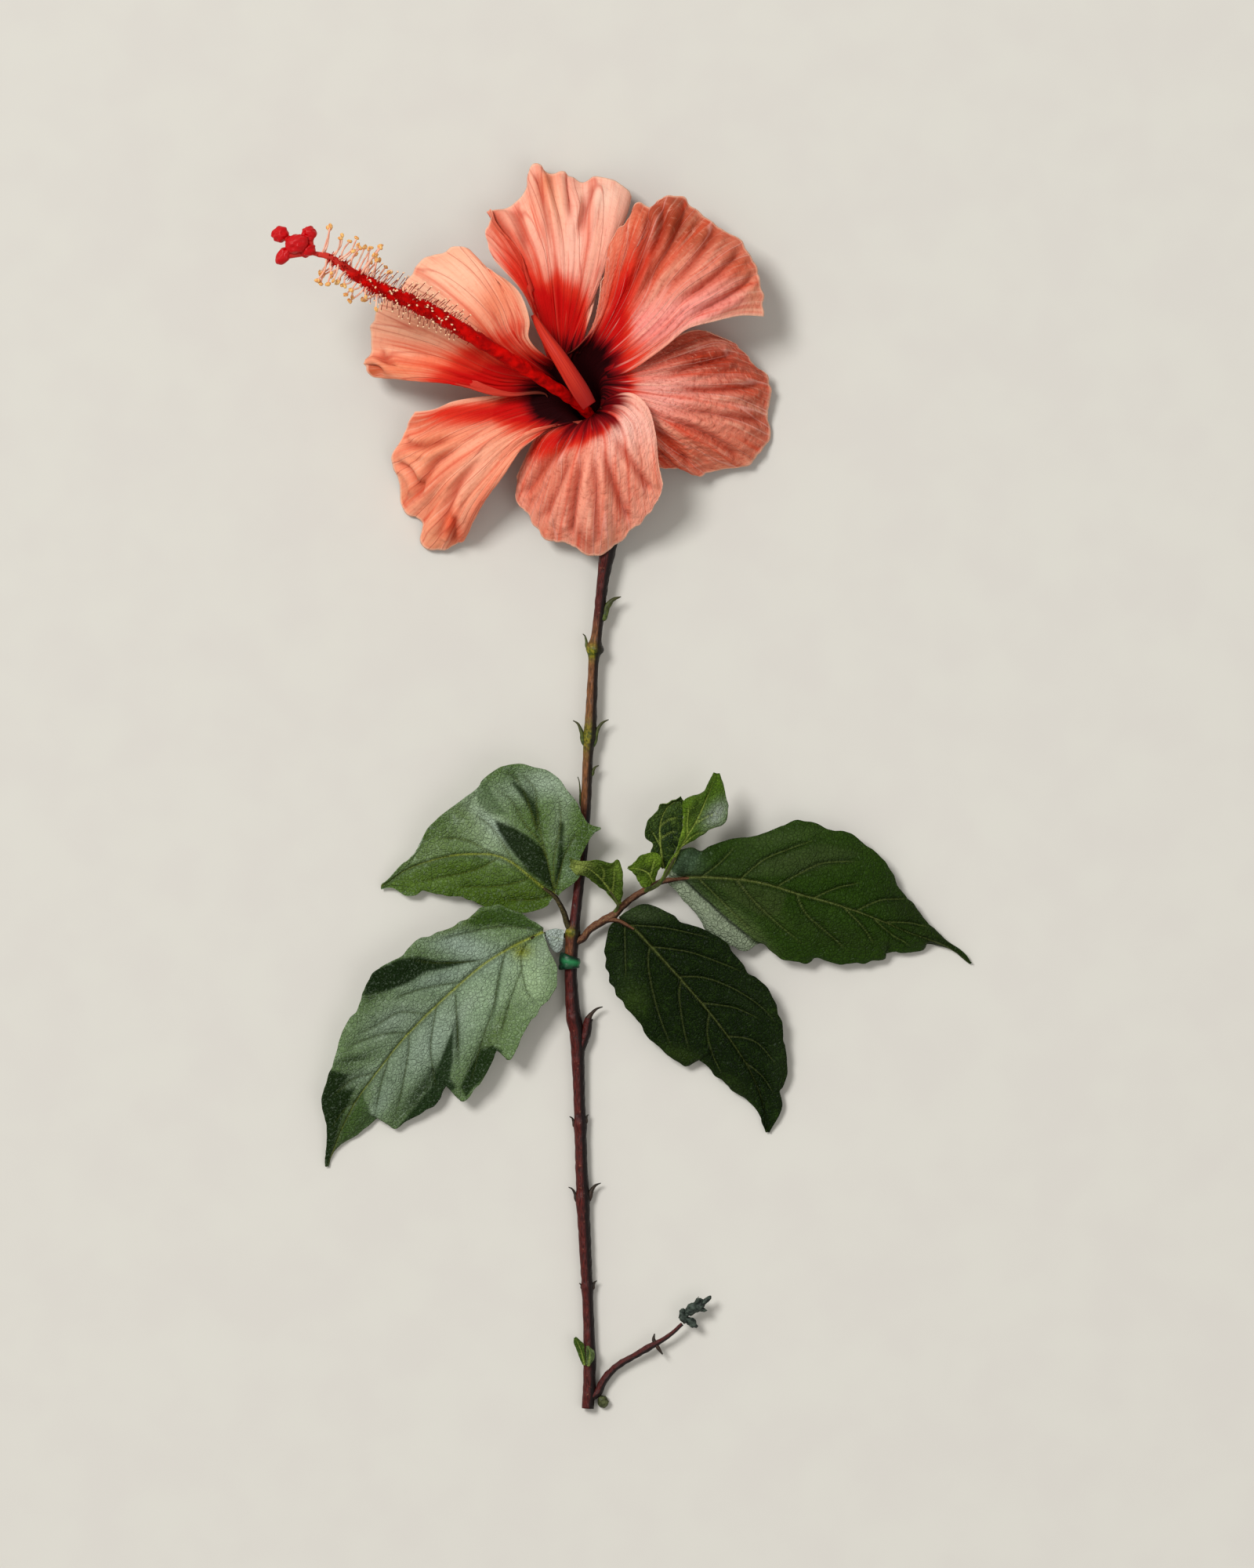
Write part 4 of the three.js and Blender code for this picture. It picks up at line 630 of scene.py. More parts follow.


# Each petal: where it leaves the throat's lip (degrees), its first side, rim and second side as in the
# frame, its heights, and its looks: folds, patches of colour, some of them painted shade, and grooves
# with brown-red painted shade.
PETALS = {
    "petal_left": {
        "lip": (184, 149),
        "first": [[-30, 125.3], [-36, 124.6], [-43, 127], [-50, 129.8], [-57, 131.4], [-66, 133.2]],
        "tip": [[-66, 133.2], [-70.5, 130.2], [-79, 129.8], [-84.5, 134.6], [-82, 138.5], [-81, 147],
            [-76, 155.5], [-69, 162], [-59, 169.5], [-51.5, 172], [-46.5, 165], [-38, 161.4]],
        "second": [[-28, 137], [-30.6, 142], [-30.2, 148], [-33, 156], [-38, 161.4]],
        "lifts": [[23, 24, 17], [25, 26, 10], [26, 29, 26]],
        "seed": 11, "folds": 3.2, "fold_height": 1.3, "crepe": 0.18, "flush": 0.36, "veins": (0.1, 0.8),
        "base": (248, 162, 128),
        "colour_and_light_patches": [[-62, 156, 24, 12, 35, 0.8, (255, 200, 168)], [-74, 146, 11, 9, 60, 0.8, (250, 176, 144)],
            [-66, 146, 14, 7, 25, 0.5, (238, 150, 112)], [-58, 134, 18, 4.5, 0, 0.85, (238, 100, 62)],
            [-44, 146, 14, 6, 60, 0.7, (230, 112, 78)], [-74, 133, 8, 3, -10, 0.6, (240, 138, 92)],
            [-81, 131.5, 4, 2.4, 0, 0.9, (176, 78, 40)], [-40, 156, 8, 4, 60, 0.6, (236, 138, 100)]],
        "grooves": [[[-84, 134], [-80, 133.4], [-76, 130]], [[-79, 139], [-77, 136], [-72, 132.4]]],
        "red": [[-46, 138, 20, 5, 32, 0.6], [-45, 128.5, 18, 4, 8, 0.75], [-36, 128, 12, 6, 0, 0.7]],
    },
    "petal_top": {
        "lip": (139, 104),
        "first": [[-26, 142], [-29, 150], [-33, 158], [-42, 168]],
        "tip": [[-42, 168], [-44.3, 176], [-43, 180], [-45, 184.4], [-39, 186.2], [-33, 191.5],
            [-30.5, 198], [-26.5, 199.1], [-23, 196.5], [-18, 196.9], [-14, 193.2], [-9, 194.6],
            [-0.4, 188.8], [-7, 182], [-9.3, 175], [-8.4, 166]],
        "second": [[-14, 143], [-11, 149], [-9, 157], [-8.4, 166]],
        "lifts": [[18, 18, 15], [18, 20, 7], [17, 17, 12]],
        "seed": 23, "folds": 3.6, "fold_height": 1.8, "crepe": 0.2, "flush": 0.46, "veins": (0.1, 0.9),
        "base": (250, 174, 150),
        "colour_and_light_patches": [[-8, 187, 8, 5, 30, 0.8, (255, 208, 184)], [-30, 184, 12, 6, 60, 0.8, (252, 176, 148)],
            [-41, 180, 9, 3.0, 110, 0.9, (192, 78, 44)], [-38, 172, 8, 3, 130, 0.7, (206, 84, 54)],
            [-16, 172, 16, 4, 80, 0.8, (255, 190, 168)], [-25, 193, 7, 3, 80, 0.8, (222, 116, 74)],
            [-31, 166, 14, 4, 122, 0.75, (216, 76, 48)], [-22, 186, 8, 3, 90, 0.6, (246, 170, 134)],
            [-12, 160, 10, 4, 80, 0.5, (238, 128, 108)]],
        "grooves": [[[-28.6, 197.6], [-27.4, 190], [-25, 180], [-22.6, 168]],
            [[-18, 196], [-17.6, 188], [-17, 178]], [[-44, 184], [-40, 180], [-36, 172], [-31, 162]],
            [[-37, 187], [-34, 180], [-30, 168]], [[-9, 193], [-12.6, 184], [-14.4, 172]]],
        "red": [[-31, 160, 16, 4, 122, 0.75], [-20, 152, 14, 7, 100, 0.5]],
    },
    "petal_upper_right": {
        "lip": (95, 26),
        "first": [[-10.5, 145], [-8.6, 152], [-7.6, 160]],
        "tip": [[-7.6, 160], [-3, 167.4], [-5.4, 171.4], [-1, 177], [3, 182], [5, 185.8], [9.6, 182.6],
            [13, 187.8], [18, 188.2], [22, 187], [28, 180], [36, 173.6], [40.3, 169], [45.2, 158],
            [43.8, 149.4]],
        "second": [[1, 134], [7, 136.4], [13, 139.6], [20, 145], [29, 147.6], [37, 149.4], [43.8, 149.4]],
        "lifts": [[22, 23, 24], [26, 27, 19], [27, 27, 20]],
        "seed": 37, "folds": 4.5, "fold_height": 1.0, "crepe": 0.55, "flush": 0.3, "veins": (0.85, 0.3),
        "base": (222, 116, 88),
        # The dark brown patches over its upper right part are painted shade.
        "colour_and_light_patches": [[20, 150, 25, 8, 12, 0.97, (255, 164, 152)], [8, 146, 10, 6, 20, 0.85, (246, 138, 130)],
            [16, 179, 16, 7, -30, 0.92, (150, 62, 34)], [5, 168, 15, 5, 62, 0.92, (160, 36, 18)],
            [34, 168, 12, 4, -45, 0.75, (182, 82, 50)], [42, 156, 4, 8, 0, 0.8, (238, 150, 118)],
            [18, 186, 4, 2, -20, 0.6, (120, 54, 34)], [4, 180, 5, 3, 60, 0.7, (232, 126, 92)],
            [-3, 172, 4, 5, 0, 0.8, (236, 130, 100)], [22, 163, 15, 5, 35, 0.7, (236, 138, 114)],
            [36, 151, 7, 2, 10, 0.6, (190, 100, 70)]],
        "grooves": [[[8, 183], [7, 174], [4, 162], [-2, 152]], [[21, 187], [17, 176], [9, 162], [1, 151]],
            [[30, 178], [22, 166], [10, 154]], [[38, 171], [28, 161], [14, 151]],
            [[43, 163], [32, 155], [18, 147.6]], [[13, 186], [11.5, 176], [6, 162]]],
        "red": [[-2, 152, 14, 4.5, 75, 0.85], [5, 165, 14, 3.5, 62, 0.35]],
    },
    "petal_right": {
        "lip": (18, -27),
        "first": [[2, 134.6], [12, 140.6], [22, 145.2], [30, 143.5]],
        "tip": [[30, 143.5], [37, 140], [42, 134.5], [46, 130.6], [48, 118], [45.5, 109.5], [42, 105.6],
            [36.3, 101.7], [25, 98], [18.5, 101], [10, 101.8], [5, 104]],
        "second": [[-3, 117.4], [0, 110.6], [5, 104]],
        "lifts": [[22, 19, 15], [22, 17, 3], [20.5, 19.5, 17]],
        "seed": 41, "folds": 5.0, "fold_height": 0.8, "crepe": 0.8, "flush": 0.14, "veins": (0.95, 0.15),
        "base": (228, 122, 96),
        # The brownish patches along its top and right side are painted shade.
        "colour_and_light_patches": [[13, 124, 18, 8, -5, 0.97, (255, 172, 158)], [26, 136, 18, 5.6, -12, 0.95, (146, 38, 20)],
            [42, 122, 6, 14, 0, 0.8, (166, 74, 50)], [28, 118, 12, 8, -20, 0.7, (238, 142, 116)],
            [16, 107, 9, 7, 0, 0.8, (206, 84, 50)], [32, 106, 10, 6, 0, 0.6, (214, 116, 86)],
            [34, 101.6, 7, 2.4, 20, 0.6, (240, 150, 116)], [20, 143, 10, 3, 0, 0.7, (196, 84, 60)],
            [8, 134, 9, 3, 30, 0.7, (198, 78, 62)]],
        "grooves": [[[36, 138], [24, 134], [10, 129]], [[45, 128], [30, 126], [12, 125]],
            [[46, 116], [30, 118], [10, 121]], [[38, 104], [26, 112], [8, 119]],
            [[22, 101], [14, 110], [3, 117]]],
        "red": [[14, 108, 8, 9, 0, 0.25], [-1, 128, 5, 9, 0, 0.9]],
    },
    "petal_bottom": {
        "lip": (-36, -85),
        "first": [[-3, 122.4], [3, 123], [7.6, 120], [9.8, 112], [10.8, 103], [12.2, 96]],
        "tip": [[12.2, 96], [10.4, 90.6], [3, 81.5], [-4, 76.3], [-11, 74.4], [-17, 77], [-24, 78.5],
            [-29, 84], [-34.5, 92.5], [-34.5, 99]],
        "second": [[-20, 115.4], [-27, 113.4], [-30, 108], [-34.5, 99]],
        "lifts": [[26.5, 26, 23], [26, 22, 8], [16.2, 13.8, 11]],
        "seed": 53, "folds": 4.6, "fold_height": 0.8, "crepe": 0.55, "flush": 0.14, "veins": (0.8, 0.25),
        "base": (255, 166, 140),
        "colour_and_light_patches": [[0, 113, 11, 10, 0, 0.97, (255, 196, 180)], [2, 102, 8, 9, 0, 0.6, (248, 156, 128)],
            [-26, 97, 8, 12, 0, 0.8, (222, 112, 84)], [-22, 108, 10, 5, 0, 0.7, (216, 84, 60)],
            [-12, 79, 4, 5, 20, 0.8, (176, 70, 46)], [-4, 92, 7, 10, 0, 0.5, (222, 122, 94)],
            [9, 97, 4, 6, 0, 0.5, (226, 116, 84)], [-14, 100, 5, 12, 10, 0.7, (252, 160, 132)],
            [-24, 81, 6, 3, -20, 0.6, (216, 110, 78)], [-4, 79, 6, 2.4, 25, 0.7, (238, 150, 118)]],
        "grooves": [[[-32, 92], [-25, 102], [-16, 112]], [[-26, 84], [-20, 97], [-14, 111]],
            [[-17, 79], [-15, 94], [-12, 111]], [[-8, 77], [-9, 92], [-10, 110]],
            [[2, 83], [-4, 97], [-8, 111]], [[9, 93], [2, 103], [-5, 113]]],
        "red": [[-20, 110, 13, 4.5, 20, 0.85], [-8, 115, 7, 3, 30, 0.7]],
    },
    "petal_lower_left": {
        "lip": (257, 197),
        "first": [[-22, 114.6], [-28, 113.6], [-33, 109.4], [-37.5, 105.5], [-41, 99]],
        "tip": [[-41, 99], [-49, 93.5], [-53.3, 85], [-52.3, 79], [-57, 76.1], [-63, 77.5], [-64.6, 84],
            [-70, 88], [-73.6, 95], [-75, 103], [-71.5, 113], [-67.6, 119.3]],
        "second": [[-32, 124.6], [-43, 124.2], [-54, 122.6], [-61, 120], [-67.6, 119.3]],
        "lifts": [[20, 19, 16], [20, 17, 1], [17, 17, 12]],
        "seed": 67, "folds": 3.6, "fold_height": 1.7, "crepe": 0.25, "flush": 0.36, "veins": (0.1, 0.8),
        "base": (248, 154, 120),
        "colour_and_light_patches": [[-48, 101, 12, 4, 45, 0.8, (254, 180, 148)], [-62, 108, 10, 4, 30, 0.7, (238, 142, 102)],
            [-50, 118, 20, 4, 4, 0.9, (206, 56, 34)], [-66, 117, 6, 3, -30, 0.7, (216, 104, 70)],
            [-68, 95, 9, 3, 40, 0.6, (222, 124, 86)], [-55, 83, 6, 3, 100, 0.9, (226, 80, 38)],
            [-60, 80, 5, 3, 90, 0.7, (242, 156, 116)], [-58, 93, 9, 3, 50, 0.5, (228, 124, 88)]],
        "grooves": [[[-74, 103], [-70, 101], [-66, 96], [-63, 91]], [[-72, 110], [-64, 108], [-52, 112]],
            [[-67, 91], [-64, 97], [-60, 103], [-50, 109]], [[-60, 78], [-57, 86], [-52, 97], [-42, 107]],
            [[-55, 78], [-54, 84], [-56, 88]]],
        "red": [[-38, 119, 20, 3.6, 5, 0.85], [-58, 119, 10, 2.0, 5, 0.3]],
    },
}


FOLD_GAIN = 1.9
RUFFLE_HEIGHT = 1.1
CURL_HEIGHT = 0.5
RIB_HEIGHT = 0.75
CREPE_HEIGHT = 0.4


def petal_relief(petal, along, across):
    """Height over the smooth surface: broad folds, fine ribs, crinkles and a ruffled rim."""
    seed = petal["seed"]
    out = np.clip(along, 0, 1)
    folds = noise(across * petal["folds"] * 2 + 3, out * 0.8, seed) * petal["fold_height"] * out**1.2
    ruffle = noise(across * 9 + 1, out * 2, seed + 1) * ease(0.7, 1.0, out)
    curl = noise(across * 22 + 1, out * 3, seed + 2) * ease(0.84, 1.0, out)
    ribs = (np.abs(noise(across * 24 + 5 + out, out * 1.3, seed + 3)) - 0.3) * ease(0.02, 0.3, out)
    crepe = noise(across * 46 + out * 9, out * 34, seed + 5) * ease(0.2, 0.6, out) * petal["crepe"]
    return (folds * FOLD_GAIN + ruffle * RUFFLE_HEIGHT + curl * CURL_HEIGHT + ribs * RIB_HEIGHT
            + crepe * CREPE_HEIGHT)


PETAL_ROWS = 150
PETAL_COLUMNS = 160
BASE_WIDENING = 2.6
RIM_WAVE = 1.2
RIM_TEETH = 0.8
GROOVE_SHADE_WIDTH = 1.1
GROOVE_SHOULDER = 2.4
GROOVE_WIDTH = 1.5
GROOVE_DEPTH = 1.5
DARK_THROAT = (11.5, 13.0)
DARK_SPOTS = [[-27, 124, 8, 4, -10, 0.9], [-24, 119, 6, 3.4, -10, 0.8], [-10, 138, 5, 6, 60, 0.5]]


def make_petal(name, petal, material):
    grid, along, across = petal_grid(petal, PETAL_ROWS, PETAL_COLUMNS)
    flat = grid[..., :2]
    relief = petal_relief(petal, along, across)
    sides = np.minimum(across, 1 - across)
    out = np.clip(along, 0, 1)
    relief *= ease(0.0, 0.05, sides) * 0.6 + 0.4
    # The grooves sink the surface, and their valleys get a mask of painted shade.
    groove = np.zeros_like(along)
    for line in petal["grooves"]:
        gap, where = distance_to(flat, line)
        fade = ease(0.0, 0.12, where) * ease(1.0, 0.6, where)
        groove = np.maximum(groove, np.exp(-(gap / GROOVE_SHADE_WIDTH)**2) * fade)
        shoulder = np.exp(-((gap - GROOVE_SHOULDER) / GROOVE_WIDTH)**2)
        relief += (shoulder - np.exp(-(gap / GROOVE_WIDTH)**2) * GROOVE_DEPTH) * fade
    normal = upward_normals(grid)
    spread = unit_rows(np.gradient(grid, axis=1))
    widen = BASE_WIDENING * ease(0.42, 0.12, along) * (2 * across - 1)**3
    stretch = unit_rows(np.gradient(grid, axis=0))
    wave = (RIM_WAVE * noise(across * 11 + 2, across * 0, petal["seed"] + 8)
            + RIM_TEETH * noise(across * 30 + 2, across * 0, petal["seed"] + 9)) * ease(0.85, 1.0, out)
    grid = grid + normal * relief[..., None] + spread * widen[..., None] + stretch * wave[..., None]
    reach = petal["flush"]
    flush = np.clip((reach - out) / reach, 0, 1) ** 0.8 + spots(flat, petal["red"])
    ragged = (0.22 * noise(across * 26 + 4, along * 0, petal["seed"] + 12)
              + 0.14 * noise(across * 60, along * 0, 3))
    throat = np.linalg.norm((flat - THROAT[:2]) / np.array(DARK_THROAT), axis=-1) + ragged
    deep = np.maximum(ease(1.75, 0.5, throat), ease(0.02, -0.1, along)) + spots(flat, DARK_SPOTS)
    edge = np.maximum(ease(0.985, 1.0, out), ease(0.012, 0.0, sides) * ease(0.5, 0.75, out))
    pale_veins, red_veins = petal["veins"]
    attributes = {
        "along": along, "across": across, "flush": np.clip(flush, 0, 1), "deep": np.clip(deep, 0, 1),
        "edge": edge * 0.8, "tone": paint(flat, petal["base"], petal["colour_and_light_patches"]), "groove": groove * 0.6,
        "crepe": petal["crepe"] * ease(0.05, 0.35, out), "pale_veins": np.full_like(along, pale_veins),
        "red_veins": np.full_like(along, red_veins),
    }
    thickness = PETAL_THICKNESS * (1 - 0.5 * ease(0.9, 1.0, out))
    finish_piece(skin(name + "_looks", grid, thickness, material, attributes), name)


STRIP_THICKNESS = 0.6
STRIP = {
    "first": [[-29.6, 149.4], [-27.2, 143.4], [-24.1, 137.4], [-20.2, 130.6], [-16.6, 124.4], [-13, 119.4]],
    "second": [[-28.4, 149.6], [-24, 143.6], [-19.2, 137.5], [-14.6, 131], [-11.6, 126.4], [-9.4, 122]],
    "lifts": [24, 31, 31, 27.5],
    "bulge": 1.2,
}


def make_strip():
    u, v = np.meshgrid(np.linspace(0, 1, 90), np.linspace(0, 1, 24), indexing="ij")
    one, two = Curve(STRIP["first"]), Curve(STRIP["second"])
    flat = one.at(u) * (1 - v[..., None]) + two.at(u) * v[..., None]
    lift = through_four(STRIP["lifts"], u) + STRIP["bulge"] * 4 * v * (1 - v)
    lift += 0.08 * noise(u * 9, v * 9, 5)
    grid = np.concatenate([flat, lift[..., None]], -1)
    attributes = {"along": u, "across": v}
    piece = skin("petaloid_strip_looks", grid, STRIP_THICKNESS, strip_material(), attributes)
    finish_piece(piece, "petaloid_strip")


COLUMN_PATH = [
    [-6, 113, 12], [-9.6, 116.6, 14.6], [-13.6, 120.6, 18.6], [-20, 125, 25], [-28, 130, 32],
    [-35, 134.3, 36.5],
    [-46.8, 141.4, 41], [-58, 148, 45], [-67.5, 152.7, 48], [-76.4, 156.3, 50.5], [-84, 160.4, 52.5],
    [-92, 166, 54.5], [-96.6, 167.4, 55.5],
]
# Each pad: its middle, its three half sizes and its turn.
STIGMA_PADS = [
    [(-108.5, 173.6, 57), (2.8, 2.5, 2.2), 0.5], [(-103.1, 170.6, 59), (3.8, 3.1, 2.4), 0.25],
    [(-99.4, 173.6, 57.5), (2.4, 2.6, 2.1), -0.3], [(-107.3, 166.9, 57), (2.1, 3.2, 2.0), -0.75],
    [(-100.1, 168.8, 57), (2.7, 2.4, 2.1), 0.1],
]


COLUMN = Curve(COLUMN_PATH)


def column_frame(s):
    """At share s of the column: the point, the way ahead, the way to the side and the way up."""
    start = COLUMN.at(np.array(s))
    ahead = COLUMN.at(np.array(min(1, s + 0.02))) - COLUMN.at(np.array(s - 0.02))
    ahead /= np.linalg.norm(ahead)
    side = np.cross(ahead, [0, 0, 1.0])
    side /= np.linalg.norm(side)
    return start, ahead, side, np.cross(side, ahead)


class Stamens:
    """Gathers the threads and the anthers of the brush round the column."""

    def __init__(self):
        self.filaments, self.anthers = Parts(), Parts()

    def add(self, start, end, arch, width, size, tip, seed):
        """One thread from the column to its anther, arched a little."""
        path = Curve([start, (start + end) / 2 + arch, end]).at(np.linspace(0, 1, 8))
        self.filaments.tube(lambda share: tip * ease(0.35, 0.75, share), path, np.full(8, width), 5)
        self.anthers.ball(tip, end, [size, size * 0.7, size * 0.6], seed * 1.7, 6, 8, 0.2, seed)


# The column's radius by the share of its length.
COLUMN_RADII = [[0, 1.7], [0.3, 2.0], [0.5, 2.2], [0.68, 2.4], [0.8, 2.1], [0.9, 1.5], [1, 0.9]]
BRISTLES = 420
BRISTLE_ZONE = (0.5, 0.97)
BRISTLE_RADII = [0.3, 0.24, 0.17, 0.08]
RANK_START = 0.56
RANK_END = 0.84
RANK_STEP = 0.021
RANK_SHIFT = 0.011
# Each side of the column, and how far out its ranks of anthers stand.
RANKS = ((1, (2.8, 4.0, 5.2, 6.4, 7.6)), (-1, (2.8, 3.9, 5.0, 6.1)))
UPRIGHT_STAMENS = 70
UPRIGHT_ZONE = (0.57, 0.86)
LOOSE_STAMENS = 46
LOOSE_ZONE = (0.8, 0.99)
STYLE_NECK = 2


def grow_bristles(column, rng):
    """Short red bristles, which make the column's outline soft."""
    for _ in range(BRISTLES):
        s = rng.uniform(*BRISTLE_ZONE)
        start, ahead, side, lift = column_frame(s)
        angle = rng.uniform(0, 2 * math.pi)
        out = side * math.cos(angle) + lift * math.sin(angle)
        reach = rng.uniform(2.2, 3.7) * (1 - 0.35 * ease(0.8, 1.0, s))
        path = np.linspace(start, start + out * reach + ahead * rng.uniform(-0.2, 1.0), 4)
        column.tube(rng.uniform(0.0, 0.2), path, BRISTLE_RADII, 5)


def grow_ranks(stamens, rng):
    """Ranks of short stamens on both sides, longer below the column than above it."""
    for side_sign, ranks in RANKS:
        for rank, distance in enumerate(ranks):
            for s in np.arange(RANK_START + RANK_SHIFT * (rank % 2), RANK_END, RANK_STEP):
                start, ahead, side, lift = column_frame(s + rng.normal(0, 0.002))
                tilt = rng.uniform(-0.5, 0.7)
                out = side * side_sign * math.cos(tilt) + lift * math.sin(tilt)
                reach = distance * (1 - 0.25 * ease(0.72, 0.56, s)) + rng.normal(0, 0.12)
                end = start + out * reach - ahead * (0.12 * distance)
                arch = lift * 0.3 + ahead * 0.5
                stamens.add(start, end, arch, 0.13, 0.36, 1.0, rank * 97 + int(s * 900))


def grow_upright(stamens, rng):
    """Stamens above and below the column, which close the brush all round."""
    for i in range(UPRIGHT_STAMENS):
        start, ahead, side, lift = column_frame(rng.uniform(*UPRIGHT_ZONE))
        angle = rng.choice([-1, 1]) * math.pi / 2 + rng.uniform(-0.8, 0.8)
        out = side * math.cos(angle) + lift * math.sin(angle)
        end = start + out * rng.uniform(2.8, 5.6) + ahead * rng.uniform(-0.6, 0.6)
        stamens.add(start, end, ahead * 0.3, 0.15, 0.4, 1.0, i + 700)


def grow_loose(stamens, rng):
    """Long loose stamens with golden anthers near the column's tip."""
    for i in range(LOOSE_STAMENS):
        start, ahead, side, lift = column_frame(rng.uniform(*LOOSE_ZONE))
        sign = 1 if i % 2 else -1
        tilt = rng.uniform(-1.0, 1.0)
        out = side * sign * math.cos(tilt) + lift * math.sin(tilt)
        reach = rng.uniform(5.0, 9.5) if sign < 0 else rng.uniform(6.0, 12.0)
        end = start + out * reach + ahead * rng.uniform(-1.5, 2.0)
        arch = ahead * rng.uniform(-1.6, 1.6) + lift * rng.uniform(-0.6, 0.8)
        stamens.add(start, end, arch, 0.3, rng.uniform(0.75, 1.05), 0.0, i + 900)


def make_column():
    t = np.linspace(0, 1, 220)
    radii = smooth_rows(COLUMN_RADII, t)[:, 0]
    column, stamens, rng = Parts(), Stamens(), np.random.default_rng(8)
    column.tube(lambda share: ease(0.86, 1.0, share) * 0.5, COLUMN.at(t), radii, 26, 0.2, 3)
    grow_bristles(column, rng)
    grow_ranks(stamens, rng)
    grow_upright(stamens, rng)
    grow_loose(stamens, rng)
    red = plain_material("column", (150, 0, 0), (210, 4, 0), 300.0, (0.5, 0.65), 0.0004, (226, 84, 70),
                         0.05)
    # The dark brown on the short filaments' outer parts is partly their colour and partly painted shade among
    # the stamens.
    pink = plain_material("filament", (240, 164, 136), (252, 204, 176), 400.0, (0.4, 0.6), 0.0001,
                          (136, 38, 20))
    gold = plain_material("anther", (222, 138, 70), (252, 208, 130), 1500.0, (0.6, 0.8), 0.0002,
                          (252, 206, 164))
    finish_piece(column.make("staminal_column_looks", red), "staminal_column")
    finish_piece(stamens.filaments.make("filaments", pink))
    finish_piece(stamens.anthers.make("anthers", gold))


def make_style():
    """The style goes on from the column's end and forks into five branches with stigma pads."""
    end, before = COLUMN.at(np.array([1.0, 0.98]))
    onward = (end - before) / np.linalg.norm(end - before)
    fork = end + onward * STYLE_NECK
    style = Parts()
    style.tube(0.0, np.array([end, fork]), [0.8, 0.7], 12)
    for k, (pad, sizes, turn) in enumerate(STIGMA_PADS):
        pad = np.array(pad, float)
        path = Curve([fork - onward * 0.4, (fork + pad) / 2 + [0, 0, 0.6], pad]).at(np.linspace(0, 1, 9))
        style.tube(lambda share: share * 0.5, path, np.linspace(0.7, 1.3, 9), 12)
        style.ball(1.0, pad, sizes, turn, 26, 38, 0.14, k + 40)
    crimson = plain_material("stigma", (200, 24, 22), (222, 60, 50), 700.0, (0.28, 0.5), 0.0005,
                             (196, 0, 8))
    finish_piece(style.make("style_looks", crimson), "style")
